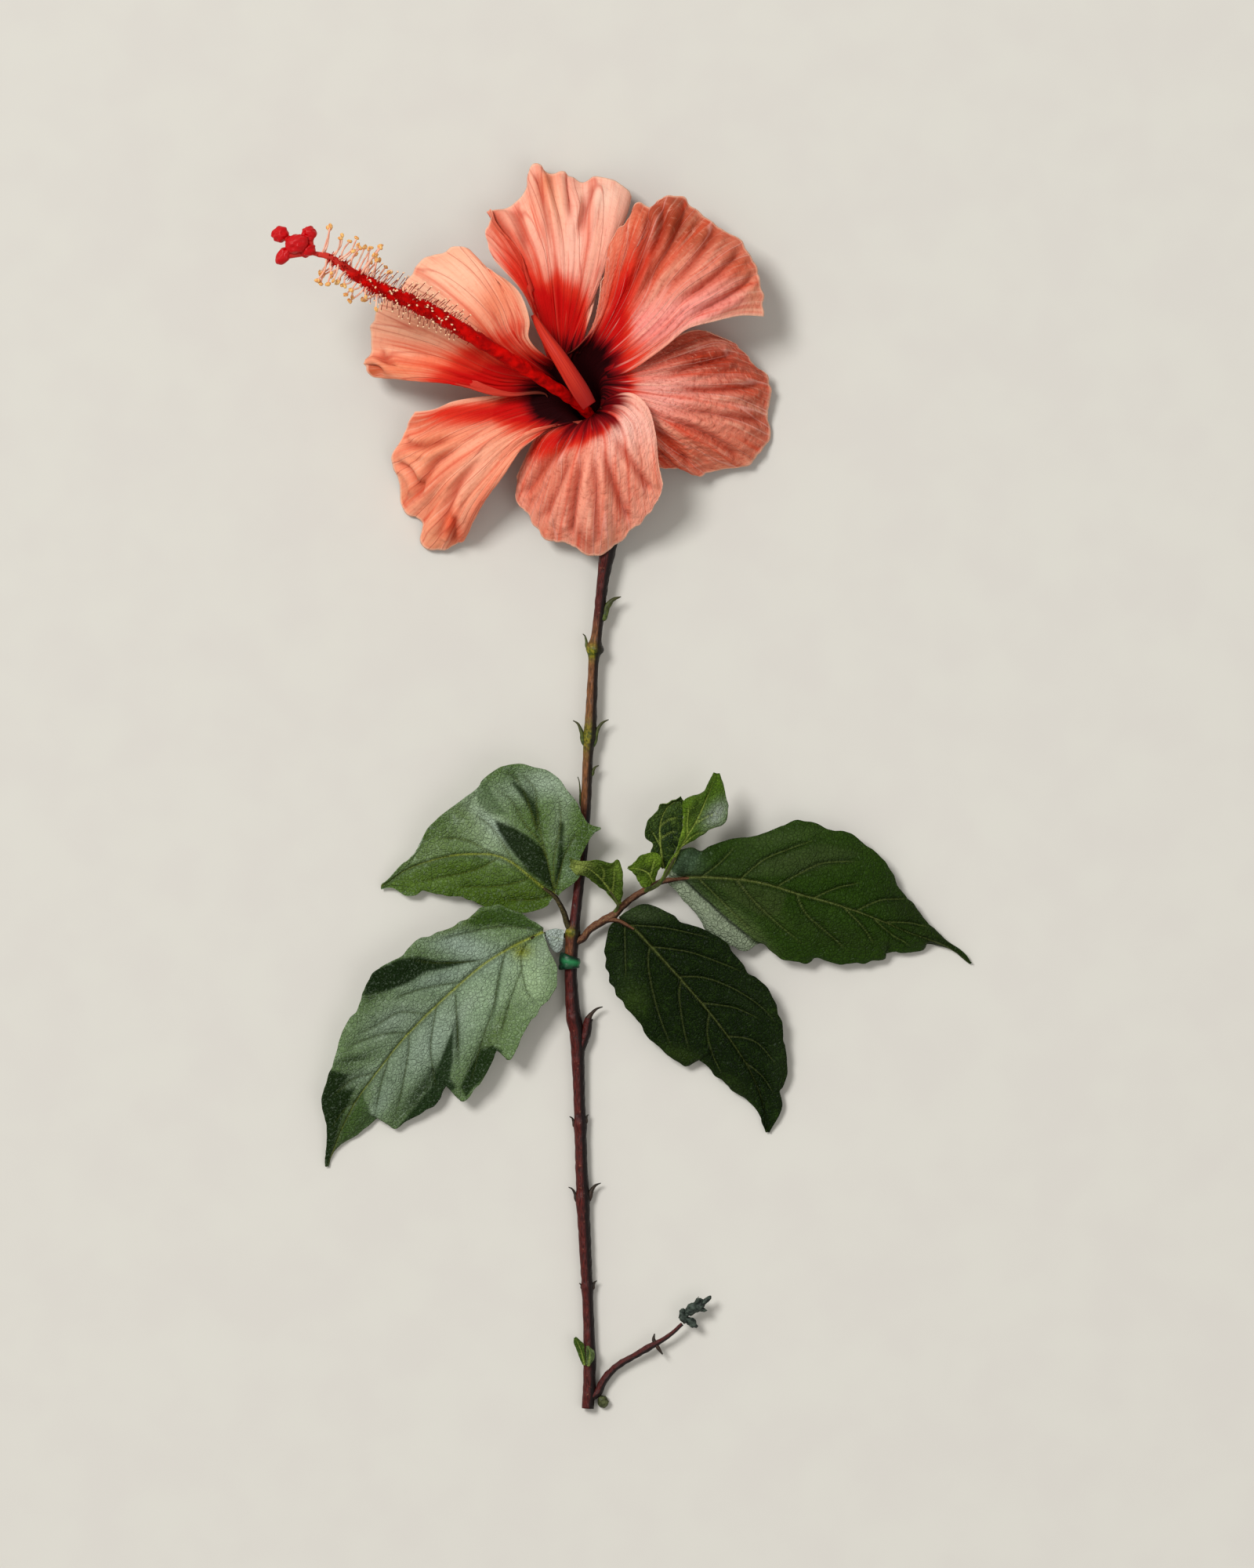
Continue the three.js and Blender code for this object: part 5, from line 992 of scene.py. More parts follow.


# ---------------------------------------------------------------- leaves
# Outlines as in the frame, with the side veins, the colour patches (among them painted sheen and painted
# shade), areas of painted light and shade, and the creases.
LEAVES = {
    "leaf_upper_left": {
        "midrib": [[-22.5, -35], [-26, -32.6], [-30, -29.4], [-35, -25.4], [-40, -22.7], [-46, -21.9],
            [-54, -22.2], [-62, -24], [-70, -27], [-78, -32.5]],
        "first": [[-21.6, -34.4], [-17, -31.6], [-14.3, -28], [-13.4, -22], [-10, -16], [-7, -13.2],
            [-11.5, -11.2], [-15.5, -5], [-19.5, 0.5], [-25, 5], [-32, 7.2], [-39, 6.6], [-45, 3],
            [-48.5, -1.4], [-54, -5.6], [-60.5, -10.6], [-64.5, -14.8], [-67, -20.6], [-72, -26],
            [-77.6, -31.9]],
        "second": [[-23.2, -35.8], [-25.5, -38.6], [-31, -40.4], [-38, -40], [-45, -38], [-51, -35.6],
            [-58, -34.6], [-64, -33.6], [-69, -35.2], [-74, -32.6], [-78, -33.2]],
        "lifts": [[7.6, 13, 12, 2], [7, 8, 6, 1.6], [7, 5, 3.4, 1.4]],
        "veins": [[[-22.5, -34.5], [-25, -23], [-28, -17], [-32, -12], [-36, -5], [-40, -1.6], [-44, 0]],
            [[-24.5, -24], [-26.4, -17], [-28, -8], [-28.6, -1], [-34, 5]],
            [[-22.3, -34], [-22.6, -24], [-20.5, -12], [-20.6, -2]], [[-28, -14], [-33, 0], [-39, 5.6]],
            [[-35, -25.4], [-42, -14], [-50, -8]], [[-42, -22.4], [-50, -17.6], [-60, -16.6]],
            [[-30, -29.6], [-38, -31.8], [-46, -32.4], [-56, -32]], [[-40, -23], [-48, -27], [-60, -29.6],
            [-68, -31]], [[-22, -33], [-19, -22], [-14, -13]], [[-24, -35.4], [-30, -36.6], [-40, -36.6]]],
        "base": (82, 108, 46),
        # The pale grey-green patches are painted sheen.
        "colour_and_light_patches": [[-45, -12, 14, 7, 128, 0.95, (160, 180, 146)], [-30, 0, 13, 5, 10, 0.9, (148, 168, 140)],
            [-20, -8, 12, 3.6, 80, 0.85, (130, 150, 116)], [-24, 1, 7, 3, -30, 0.8, (158, 176, 150)],
            [-39, -15, 9, 2.2, 140, 0.9, (176, 194, 176)], [-36, 4, 5, 2.2, 120, 0.7, (70, 92, 50)],
            [-62, -21, 14, 5, 25, 0.8, (112, 134, 82)], [-60, -30, 14, 3, 10, 0.8, (104, 130, 62)],
            [-38, -36, 15, 3.8, 0, 0.95, (56, 76, 6)], [-30, -33.4, 8, 3, 0, 0.6, (70, 84, 34)],
            [-14, -17, 8, 2.6, 60, 0.7, (62, 84, 34)], [-29, -6, 8, 1.1, 106, 0.85, (44, 60, 30)],
            [-17, -27, 4, 3, 70, 0.7, (112, 134, 104)], [-52, -9, 8, 2.6, 130, 0.7, (100, 122, 66)],
            [-48, -27, 10, 1.6, 172, 0.5, (74, 94, 30)]],
        "painted_light_and_shade": [[[[-22.3, -34], [-25, -21.1], [-29.7, -16.4], [-35.2, -13], [-41.9, -10.3],
            [-40.6, -14.4], [-37.2, -19.8], [-31.1, -27.2]], 0.98, (20, 36, 6)],
            [[[-21.9, -33.3], [-20.3, -29.9], [-19.2, -20.5], [-18.9, -11], [-21, -11.7], [-21.4, -20.5],
            [-22.7, -29.9]], 0.95, (28, 44, 14)], [[[-25.7, -19.8], [-27.7, -15.1], [-27, -8.3],
            [-31.1, -1.6], [-35.2, 1.8], [-36.5, 1.1], [-32.5, -4.3], [-29.7, -9.7], [-28.4, -16.4]], 0.95,
            (26, 44, 12)], [[[-48, -2.2], [-46.6, -6.3], [-43.3, -9], [-36.5, -9.7], [-40.6, -4.3],
            [-44.6, 2.5]], 0.55, (60, 84, 40)], [[[-22, -35], [-30, -29.8], [-35, -26], [-46, -22.6],
            [-62, -24.6], [-78, -32.5], [-64, -35], [-45, -39], [-31, -42], [-24, -40]], 0.6,
            (72, 98, 14)]],
        "waves": [[0.9, 3.2], [0.5, 7]], "seed": 5, "rib": 0.85, "sides": (0.2, 0.62, 0.0),
    },
    "leaf_lower_left": {
        "midrib": [[-26, -46.8], [-31, -49], [-38, -52.6], [-46, -57.8], [-55, -65.5], [-64, -74],
            [-72, -82.4], [-79, -91.4], [-86, -101], [-91, -111], [-95.4, -122]],
        "first": [[-26, -45.8], [-32, -41.6], [-39.5, -38.4], [-46, -39.4], [-52, -43.2], [-60, -47],
            [-66, -49], [-71, -54], [-78, -57.6], [-83, -63.4], [-84.4, -69.4], [-89, -77], [-92, -85],
            [-94.4, -91.4], [-97, -102], [-95, -110], [-96, -118], [-95.9, -122]],
        "second": [[-25.4, -47.6], [-24.2, -52], [-21.9, -58], [-22, -65.5], [-27.5, -72], [-33, -81],
            [-36.5, -87.6], [-40, -84.6], [-45, -93.6], [-51.5, -101], [-55, -94.6], [-62, -103],
            [-69, -107], [-73.5, -110], [-77, -105.6], [-85, -110.6], [-92, -115.2], [-94.9, -122]],
        "lifts": [[6.6, 11, 8, 1], [6.6, 9, 6.5, 0.8], [7.2, 9, 3.6, 0.8]],
        "veins": [[[-29, -48.4], [-33, -54], [-31.5, -65], [-27, -71]],
            [[-38, -53], [-40.4, -62], [-42, -71], [-46, -83], [-50, -98]],
            [[-54, -66], [-53.6, -76], [-53, -88]], [[-69, -79], [-69, -84], [-71, -96], [-74, -108]],
            [[-46, -56], [-60, -56.6], [-70, -55]], [[-27, -46.6], [-38, -45], [-50, -47], [-62, -50]],
            [[-54, -63], [-65, -65], [-76, -69]], [[-64, -73], [-72, -72.5], [-80, -77], [-87, -80]],
            [[-69, -79], [-78, -79.6], [-90, -84]], [[-80, -92], [-87, -94], [-94, -100]],
            [[-86, -101], [-90, -104], [-94, -110]], [[-32.6, -58], [-37, -70], [-40, -82]],
            [[-60, -70], [-62, -84], [-60, -98]], [[-75, -86], [-78, -96], [-80, -106]]],
        "base": (100, 124, 76),
        # The pale grey-green patches are painted sheen; the near-black ones near the upper margin are painted
        # shade in its folds.
        "colour_and_light_patches": [[-50, -52, 20, 5, 158, 0.95, (150, 168, 152)], [-60, -80, 24, 9, 45, 0.95,
            (144, 162, 142)], [-44, -66, 13, 9, 60, 0.9, (146, 170, 134)],
            [-74, -75, 12, 6, 30, 0.9, (126, 142, 122)], [-58, -61, 14, 3.6, 15, 0.9, (130, 148, 130)],
            [-30, -62, 6, 9, 10, 0.9, (160, 184, 140)], [-84, -93, 8, 3, 20, 0.8, (124, 142, 118)],
            [-78, -101, 9, 3, 60, 0.9, (124, 142, 120)], [-26, -53, 3, 5, 0, 0.7, (150, 168, 140)],
            [-74, -60, 12, 3.4, 22, 0.98, (30, 46, 16)], [-80, -64, 6, 3, 60, 0.9, (34, 50, 18)],
            [-46, -42, 9, 3, 0, 0.9, (70, 90, 30)], [-58, -46, 8, 2.4, 22, 0.8, (90, 110, 54)],
            [-65, -97, 15, 2.8, 52, 0.98, (42, 58, 32)], [-60, -101, 8, 2, 35, 0.8, (62, 80, 40)],
            [-47, -88, 9, 2.4, 62, 0.98, (36, 52, 20)], [-40, -77, 10, 3, 62, 0.75, (92, 114, 60)],
            [-91, -99, 9, 4.5, 70, 0.98, (36, 52, 18)], [-86, -87, 7, 1.3, 12, 0.95, (36, 52, 20)],
            [-94, -110, 9, 3.4, 84, 0.95, (36, 52, 16)], [-88, -107, 8, 2, 60, 0.7, (88, 110, 50)],
            [-53.4, -80, 9, 1.0, 89, 0.9, (46, 60, 34)], [-40.6, -66, 12, 0.7, 80, 0.7, (40, 58, 26)],
            [-33, -53, 3, 2.4, 0, 0.9, (136, 144, 34)], [-50, -70, 6, 2, 50, 0.4, (150, 164, 146)],
            [-77, -82, 9, 2.4, 20, 0.6, (96, 114, 84)], [-95.4, -119, 4, 2, 80, 0.9, (30, 42, 14)]],
        "painted_light_and_shade": [[[[-72.3, -54.9], [-66.2, -54.2], [-59.5, -55.6], [-46, -55.6], [-55.4, -58.3],
            [-63.5, -59.7], [-68.9, -63], [-75.7, -65.7], [-83.8, -67.1], [-83.1, -63], [-79.7, -58.3]],
            0.97, (14, 32, 4)], [[[-55.4, -93.4], [-53.4, -96.1], [-59.5, -102.9], [-66.2, -107.6],
            [-73, -109.9], [-67.6, -102.9], [-62.2, -96.1], [-56.8, -81.3], [-54.3, -75.9], [-54.7, -86.7]],
            0.95, (22, 42, 12)], [[[-38.5, -84.6], [-43.3, -92.1], [-50.7, -100.2], [-52.7, -96.1],
            [-49.3, -89.4], [-46, -84], [-41.9, -82.6]], 0.95, (20, 40, 6)],
            [[[-94.6, -90], [-87.8, -92.1], [-91.9, -97.5], [-85.1, -96.1], [-79.7, -89.4], [-86.5, -97.5],
            [-89.2, -104.2], [-91.9, -111], [-95.3, -123], [-98.6, -105.6]], 0.97, (18, 36, 4)],
            [[[-83.8, -97.5], [-81.1, -104.2], [-77.7, -106.9], [-83.8, -110.3], [-91.9, -115],
            [-89.9, -108.3], [-86.5, -102.9]], 0.8, (52, 78, 26)], [[[-51.4, -43.4], [-46, -40.1],
            [-39.2, -38.4], [-32.5, -41.1], [-25.7, -46.1], [-32.5, -45.5], [-40.6, -44.1], [-47.3, -45.5]],
            0.85, (48, 74, 12)]],
        "waves": [[0.8, 3.4], [0.5, 8]], "seed": 6, "rib": 0.85, "sides": (0.1, 0.66, 0.0),
    },
    "leaf_right": {
        "midrib": [[14.2, -30.2], [20, -29.4], [27, -29.3], [36, -29.9], [45, -31.4], [56, -34.8],
            [67, -37.8], [79, -42], [91, -47], [103, -51.4], [111, -57]],
        "first": [[14.6, -29.3], [15.4, -25], [19, -20.2], [24.5, -21.2], [31, -18.2], [41, -16.8],
            [50, -13.8], [54, -12], [60, -12], [65, -14.4], [71, -14.9], [79, -20.6], [84, -26.6],
            [89, -35], [95, -43], [101, -49], [107, -52.9], [111.2, -56.6]],
        "second": [[14.2, -31.2], [18.5, -35.4], [24, -41.4], [26.4, -46], [32, -50], [38, -52.4],
            [44, -51.4], [50, -55], [57.6, -56], [61, -54.3], [70, -56.3], [82, -55.2], [83, -52.8],
            [94, -52], [97, -50], [104, -52.5], [110.6, -57]],
        "lifts": [[6.8, 8, 5, 0.9], [6.6, 12, 8, 0.7], [6, 5, 3, 0.7]],
        "veins": [[[24, -29.6], [30, -25], [36, -19]], [[37, -29.8], [44, -24], [52, -20.4], [62, -17]],
            [[49, -32], [56, -28], [64, -24.6], [76, -24.4]], [[60, -36], [68, -32.6], [76, -31]],
            [[74, -40], [82, -36.6], [91, -36.4]], [[84, -43.6], [92, -44], [97, -46]],
            [[36, -30.6], [42, -37.6], [50, -45], [58, -51]], [[55, -35], [58, -41], [66, -48], [72, -53]],
            [[70, -39], [76, -45], [80, -51]], [[80, -43], [86, -48], [92, -51]],
            [[24, -30], [33, -39], [43, -49]]],
        "base": (34, 58, 4),
        "colour_and_light_patches": [[23, -39, 13, 3.6, -47, 0.95, (126, 138, 108)], [32, -47.6, 8, 3.6, -38, 0.95,
            (130, 142, 114)], [38, -45, 14, 3.4, -47, 0.85, (92, 112, 60)],
            [20, -25, 5, 4, 0, 0.7, (74, 90, 72)], [56, -24, 16, 4, 8, 0.7, (56, 70, 32)],
            [50, -17, 14, 2.6, 12, 0.6, (64, 82, 40)], [62, -45, 14, 4, -20, 0.6, (40, 58, 14)],
            [90, -40, 12, 5, -45, 0.8, (28, 42, 8)], [100, -50, 10, 3, -35, 0.8, (30, 42, 8)],
            [30, -34, 12, 1.8, -30, 0.7, (34, 48, 16)], [76, -49, 14, 4, 0, 0.5, (34, 50, 8)],
            [34, -26, 12, 3, 20, 0.4, (48, 62, 32)], [47, -41, 8, 2.6, -40, 0.5, (66, 86, 34)]],
        # These areas are painted lighter, as the lit parts of the leaf.
        "painted_light_and_shade": [[[[27, -29.6], [36, -30.4], [45, -32], [52, -34.4], [50, -41], [44, -42], [36, -37]],
            0.5, (62, 74, 36)], [[[37, -29.4], [46, -23.6], [54, -20.8], [64, -18.4], [76, -22],
            [66, -25.6], [54, -29]], 0.45, (56, 72, 34)], [[[14.6, -29.4], [16, -25], [20, -20.4],
            [25, -21.6], [22, -27]], 0.6, (66, 88, 62)]],
        "waves": [[0.7, 3.0], [0.4, 7]], "seed": 7, "rib": 0.85,
        "fold": [[19, -30.2], [27, -37.6], [36, -45.6], [44, -52]],
        "fold_tone": (140, 152, 126),
    },
    "leaf_lower_right": {
        "midrib": [[-2, -43.2], [3, -45.8], [8, -51], [14, -57.5], [21, -65.4], [28, -73.6], [35, -83],
            [40.5, -92], [44, -101], [45.8, -111]],
        "first": [[-1.2, -42.6], [0.6, -40], [6, -38], [12, -40], [19, -43.7], [27, -46.4], [34, -52],
            [40, -60], [45.5, -65], [49.8, -75], [50.8, -82], [51.5, -93.6], [49.6, -97.4], [50, -103],
            [46.4, -111]],
        "second": [[-2.8, -44], [-5, -46.6], [-6, -55], [-3.4, -65], [2.8, -72.6], [8, -80], [17, -88.6],
            [20, -89], [23, -87.2], [29, -92.4], [33, -95.6], [39, -100], [43.4, -104.6], [45.3, -111]],
        "lifts": [[6.2, 9, 5, 0.7], [6, 8, 5.5, 0.7], [5.4, 4, 2.6, 0.7]],
        "veins": [[[1, -44.5], [13, -45.5], [25, -48], [29, -49]], [[9, -51.5], [20, -53], [29, -56],
            [39, -60]], [[18, -61], [26, -61.5], [35, -65], [44, -71], [49, -77]],
            [[25, -69.5], [35, -71], [44, -75]], [[33, -80], [42, -82], [49, -90]],
            [[0, -45], [0.2, -55], [0.4, -63]], [[8, -52], [7.5, -57], [9, -66], [12, -76], [16, -85]],
            [[18, -62], [17.5, -68], [19, -78], [21, -85.5]], [[27, -73], [26.5, -80], [29, -88],
            [32, -93]], [[38, -88], [44, -93], [48, -99]]],
        "base": (12, 26, 2),
        "colour_and_light_patches": [[5, -41, 8, 2.6, 0, 0.85, (58, 72, 42)], [0, -58, 5, 10, 0, 0.6, (34, 48, 22)],
            [3, -68, 5, 5, -40, 0.7, (48, 66, 20)], [18, -86, 7, 2.6, -20, 0.6, (46, 62, 18)],
            [40, -68, 8, 5, -45, 0.5, (30, 42, 18)], [34, -96, 7, 3, -30, 0.5, (36, 50, 12)],
            [49, -88, 3, 9, 0, 0.5, (34, 48, 20)]],
        "waves": [[0.6, 3.0], [0.35, 7]], "seed": 8, "rib": 0.6,
    },
}
YOUNG_LEAVES = {
    "young_leaf_centre": {
        "midrib": [[-2, -38], [-5, -33], [-9, -28.4], [-13, -25.8], [-17.3, -25]],
        "first": [[-2.6, -38], [-5, -35], [-9, -31.5], [-12.6, -28.8], [-15.2, -28.8], [-17.6, -25.8]],
        "second": [[-1.5, -37.8], [-0.4, -34], [-0.5, -28.5], [-1.8, -23.6], [-4.6, -24.4], [-8.5, -23.7],
            [-12.4, -24.2], [-15.8, -23.8], [-17.4, -22.8]],
        "lifts": [[8, 9.5, 13, 15], [8, 10.5, 14, 15.4], [8.4, 13, 15, 16]],
        "veins": [[[-4, -34.6], [-3.4, -30], [-3.4, -26]], [[-7, -30.6], [-6.6, -27.6], [-8, -24.6]]],
        "base": (56, 76, 16),
        "colour_and_light_patches": [[-14.6, -25.8, 3.4, 2.4, 0, 0.95, (152, 166, 84)], [-2.4, -26, 2, 4, 0, 0.7,
            (104, 128, 44)], [-8, -30, 5, 1.6, -40, 0.8, (30, 46, 8)],
            [-3, -35, 2, 2, 0, 0.6, (96, 118, 40)], [-12, -28, 2, 1, 0, 0.6, (40, 52, 12)]],
        "waves": [[0.5, 4], [0.5, 9]], "seed": 31, "rib": 0.7,
    },
    "young_leaf_small": {
        "midrib": [[9, -31], [7.5, -28], [4.6, -26.6], [1, -26.3]],
        "first": [[8.2, -31.6], [6, -32.6], [4.4, -30.4], [2.6, -27.6], [0.8, -26.7]],
        "second": [[9.8, -30.6], [10.6, -27.6], [12, -25], [11, -22], [8.6, -21.3], [5, -22.3], [3, -24.6],
            [1.1, -25.8]],
        "lifts": [[10, 11, 12, 12.4], [10, 12.4, 13, 13], [10, 13, 14, 13.6]],
        "veins": [[[8, -29], [9, -26], [9.6, -23]]],
        "base": (78, 104, 22),
        "colour_and_light_patches": [[6, -27, 3.4, 1.6, 20, 0.9, (26, 40, 8)], [9.4, -23.6, 2.4, 2, 0, 0.8, (112, 140, 40)],
            [5, -31, 2, 1.6, 0, 0.8, (96, 124, 34)], [2, -26, 2, 1, 0, 0.7, (104, 130, 42)]],
        "waves": [[0.4, 4], [0.4, 9]], "seed": 32, "rib": 0.6,
    },
    # The half of a young leaf folded along its midrib that lies in shade: its dark colours are painted shade.
    "young_leaf_dark": {
        "midrib": [[12.6, -26.6], [11.5, -20], [11.4, -12], [14, -6.5], [18.4, -4.4]],
        "first": [[12, -26.4], [8.4, -22], [8.8, -18.5], [6.6, -16.4], [7, -11], [10, -8], [11.2, -5.5],
            [14.6, -5.1], [18, -3.5]],
        "second": [[13.2, -26.6], [15.8, -22], [18, -17], [18.8, -11], [19.4, -5.2]],
        "lifts": [[9.6, 12, 13, 14], [9.6, 11.4, 12, 13.4], [10, 12, 12.6, 13]],
        "veins": [[[11.6, -20], [9.6, -16], [8, -14]], [[11.4, -13], [14, -11], [17.6, -10]],
            [[11.4, -17], [14.6, -15], [17, -14.6]]],
        "base": (38, 56, 20),
        "colour_and_light_patches": [[16, -18, 2, 5, 20, 0.9, (16, 28, 8)], [12.5, -14, 3, 5, 10, 0.8, (30, 48, 26)],
            [9, -11, 2.4, 4, 0, 0.6, (66, 86, 40)], [13.4, -7.6, 4, 1.4, 20, 0.6, (76, 98, 44)]],
        "waves": [[0.5, 4], [0.4, 9]], "seed": 33, "rib": 0.7,
    },
    # The other half of that folded leaf, painted lighter as lit.
    "young_leaf_bright": {
        "midrib": [[12, -30], [16, -23], [19.5, -17], [24, -9], [29.2, 4]],
        "first": [[11.3, -30], [14, -25], [16.8, -20], [18.2, -13], [19.2, -5], [22, -3.4], [26, -1],
            [28.7, 4]],
        "second": [[12.6, -30.2], [16.2, -23.6], [19.6, -18.9], [25, -15.3], [32, -10.6], [32.7, -7],
            [31.3, -1], [29.7, 3.8]],
        "lifts": [[12.5, 17, 18, 17], [12.3, 17, 19, 17.5], [12.5, 16, 16, 17]],
        "veins": [[[18, -20], [22, -16], [26, -14.6]], [[22, -12.6], [26, -10], [30, -8.6]],
            [[20, -16], [20, -11], [20.6, -6]]],
        "base": (74, 104, 18),
        "colour_and_light_patches": [[18, -14, 7, 1.8, 62, 0.9, (132, 162, 48)], [29, -9, 5, 2.8, 50, 0.98, (150, 160, 146)],
            [22, -8, 6, 1.6, 62, 0.9, (28, 44, 8)], [27.6, -2, 4, 2, 70, 0.7, (64, 92, 18)],
            [14.6, -25, 4, 1.6, 60, 0.7, (96, 126, 30)]],
        "waves": [[0.5, 4], [0.5, 9]], "seed": 34, "rib": 0.8,
    },
    "bud_leaf_left": {
        "midrib": [[-12.9, -185.4], [-13.6, -182], [-14.6, -179], [-15.9, -176.6]],
        "first": [[-13.3, -185.2], [-15, -181.4], [-16.1, -178.4], [-16.2, -176.8]],
        "second": [[-12.5, -185.4], [-12.7, -181.6], [-13.2, -178.4], [-15.6, -176.5]],
        "lifts": [[4.9, 5, 4.6, 4], [5, 5.4, 5, 4], [5, 5.4, 5, 4]],
        "base": (60, 84, 26), "colour_and_light_patches": [[-14, -180, 2.6, 0.8, 110, 0.7, (34, 50, 14)]],
        "waves": [[0.2, 3]], "seed": 35, "rib": 0.5,
    },
    "bud_leaf_right": {
        "midrib": [[-11.6, -185.6], [-11.2, -183], [-11.2, -181], [-11.9, -179.2]],
        "first": [[-12, -185.6], [-12.3, -183], [-12.3, -181], [-12.3, -179.3]],
        "second": [[-11.2, -185.6], [-9.8, -183], [-9.9, -181], [-11.5, -179.2]],
        "lifts": [[5, 5.2, 5.2, 4.9], [5.1, 5.8, 5.6, 4.9], [5, 5, 5, 4.9]],
        "base": (96, 112, 70), "colour_and_light_patches": [[-11.6, -181.6, 2.4, 0.6, 90, 0.8, (40, 56, 20)]],
        "waves": [[0.2, 3]], "seed": 36, "rib": 0.4,
    },
    "leaf_sheath": {
        "midrib": [[-19.6, -49.6], [-21.4, -48.8], [-23.4, -48.2], [-25.2, -47.6]],
        "first": [[-19.4, -46.2], [-21.2, -45.8], [-23.2, -45.9], [-25.3, -46.6]],
        "second": [[-19.8, -52], [-21.6, -53.4], [-23.4, -52.2], [-25, -49]],
        "lifts": [[4.4, 4.8, 5.4, 6.2], [4.6, 5.2, 6.0, 6.6], [3.4, 3.8, 4.6, 5.6]],
        "base": (176, 188, 180), "colour_and_light_patches": [[-22, -50, 2, 2, 0, 0.4, (150, 168, 150)]],
        "waves": [[0.1, 3]], "seed": 38, "rib": 0.2,
    },
}


def leaf_grid(leaf, rows, columns):
    """Mid-surface points of a leaf; along runs foot to tip and across from first to second margin."""
    rib, one, two = (Curve(leaf[key]) for key in ("midrib", "first", "second"))
    s, t = np.linspace(0, 1, rows), np.linspace(0, 1, columns)
    centre = rib.at(s)[:, None]
    margin = np.where((t < 0.5)[None, :, None], one.at(s)[:, None], two.at(s)[:, None])
    share = np.abs(2 * t - 1)[None, :, None]
    flat = centre * (1 - share) + margin * share
    s2, t2 = s[:, None], t[None, :]
    lift = through_three([through_four(row, s2) for row in leaf["lifts"]], t2)
    return np.concatenate([flat, lift[..., None]], -1), np.repeat(s2, columns, 1), np.repeat(t2, rows, 0)


LEAF_THICKNESS = 0.4
MARGIN_TEETH = 0.55
GROWN_LENGTH = 50
RIB_HALF_WIDTH = 0.5
RIB_TAPER = 0.72
VEIN_HALF_WIDTH = 0.24
VEIN_TAPER = 0.4
PUFF_HEIGHT = 0.9
PUFF_REACH = 2.2
# Two grains of unevenness: height and bumps per millimetre.
PUCKER, GRAIN = (0.22, 0.45), (0.07, 1.3)
# How strongly the side veins are painted, how dark the painted shade in the creases beside them is and how
# far off it runs.
PLAIN_SIDES = (0.6, 0.45, 0.6)


def make_leaf(name, leaf, material, counts):
    grid, along, across = leaf_grid(leaf, *counts)
    flat = grid[..., :2]
    size = Curve(leaf["midrib"]).length
    fine = min(1.0, size / GROWN_LENGTH)
    share = np.abs(2 * across - 1)
    rib_gap, rib_share = distance_to(flat, leaf["midrib"])
    rib_width = (RIB_HALF_WIDTH * (1 - RIB_TAPER * rib_share)) * (0.45 + 0.55 * fine)
    groove = np.exp(-(rib_gap / (rib_width * 1.8))**2) * 0.5 * fine
    rib = np.exp(-(rib_gap / rib_width)**2) * leaf["rib"]
    # Painted shade in the creases along the midrib's sides.
    crease_shade = np.exp(-((rib_gap - rib_width * 2.2) / 0.5)**2) * 0.4 * fine
    nearest = rib_gap.copy()
    side_rib, side_crease_shade, crease_gap = leaf.get("sides", PLAIN_SIDES)
    for line in leaf.get("veins", []):
        gap, where = distance_to(flat, line)
        width = VEIN_HALF_WIDTH * (1 - VEIN_TAPER * where)
        fade = ease(1.0, 0.75, where)
        rib = np.maximum(rib, np.exp(-(gap / width)**2) * leaf["rib"] * side_rib * fade)
        crease_shade = np.maximum(crease_shade, np.exp(-((gap - crease_gap) / 0.42)**2) * side_crease_shade * fade)
        groove += np.exp(-(gap / 0.8)**2) * 0.35 * fade * fine
        nearest = np.minimum(nearest, gap + 2.5 * (1 - fade))
    puff = PUFF_HEIGHT * fine * (1 - np.exp(-nearest / PUFF_REACH))
    outer = ease(0.2, 1, share)
    waves = sum(height * noise(along * count * 2 + 2, across * 2.5 + share, leaf["seed"] + k) * outer
                for k, (height, count) in enumerate(leaf["waves"]))
    x, y = flat[..., 0], flat[..., 1]
    pucker = PUCKER[0] * fine * noise(x * PUCKER[1], y * PUCKER[1], leaf["seed"] + 9)
    pucker += GRAIN[0] * noise(x * GRAIN[1], y * GRAIN[1], leaf["seed"] + 10)
    tone = paint(flat, leaf["base"], leaf["colour_and_light_patches"])
    # Areas of painted shade, and on the right leaf of painted light, laid over the tone; their mask keeps the
    # painted sheen off them.
    shaded = np.zeros_like(along)
    for outline, strength, colour in leaf.get("painted_light_and_shade", []):
        shade = inside(flat, outline) * strength
        shaded = np.maximum(shaded, shade)
        tone = tone * (1 - shade[..., None]) + np.array(rgb(*colour)[:3]) * shade[..., None]
    fold = leaf.get("fold")
    if fold:
        gap = distance_to(flat, fold)[0]
        start, end = np.array(fold[0]), np.array(fold[-1])
        beyond = (flat - start) @ np.array([start[1] - end[1], end[0] - start[0]]) * -1
        turned = (ease(0.0, 12.0, beyond) * 0.92)[..., None]
        tone = tone * (1 - turned) + np.array(rgb(*leaf["fold_tone"])[:3]) * turned
        # A dark line of painted shade along the fold.
        crease_shade = np.maximum(crease_shade, np.exp(-(gap / 0.5)**2) * 0.9)
        puff -= 1.2 * np.exp(-(gap / 1.6)**2)
    normal = upward_normals(grid)
    outward = unit_rows(np.gradient(grid, axis=1) * np.sign(across - 0.5)[..., None])
    teeth = (MARGIN_TEETH * fine * noise(along * size * 0.45, across.round() * 9, leaf["seed"] + 11)
             * ease(0.86, 1.0, share))
    grid = grid + normal * (puff - groove + waves + pucker)[..., None] + outward * teeth[..., None]
    attributes = {"rib": np.clip(rib, 0, 1), "crease_shade": np.clip(crease_shade, 0, 0.9),
                  "tone": tone, "shade": shaded}
    thickness = LEAF_THICKNESS * (1 - 0.5 * ease(0.93, 1.0, share))
    finish_piece(skin(name + "_looks", grid, thickness, material, attributes), name)


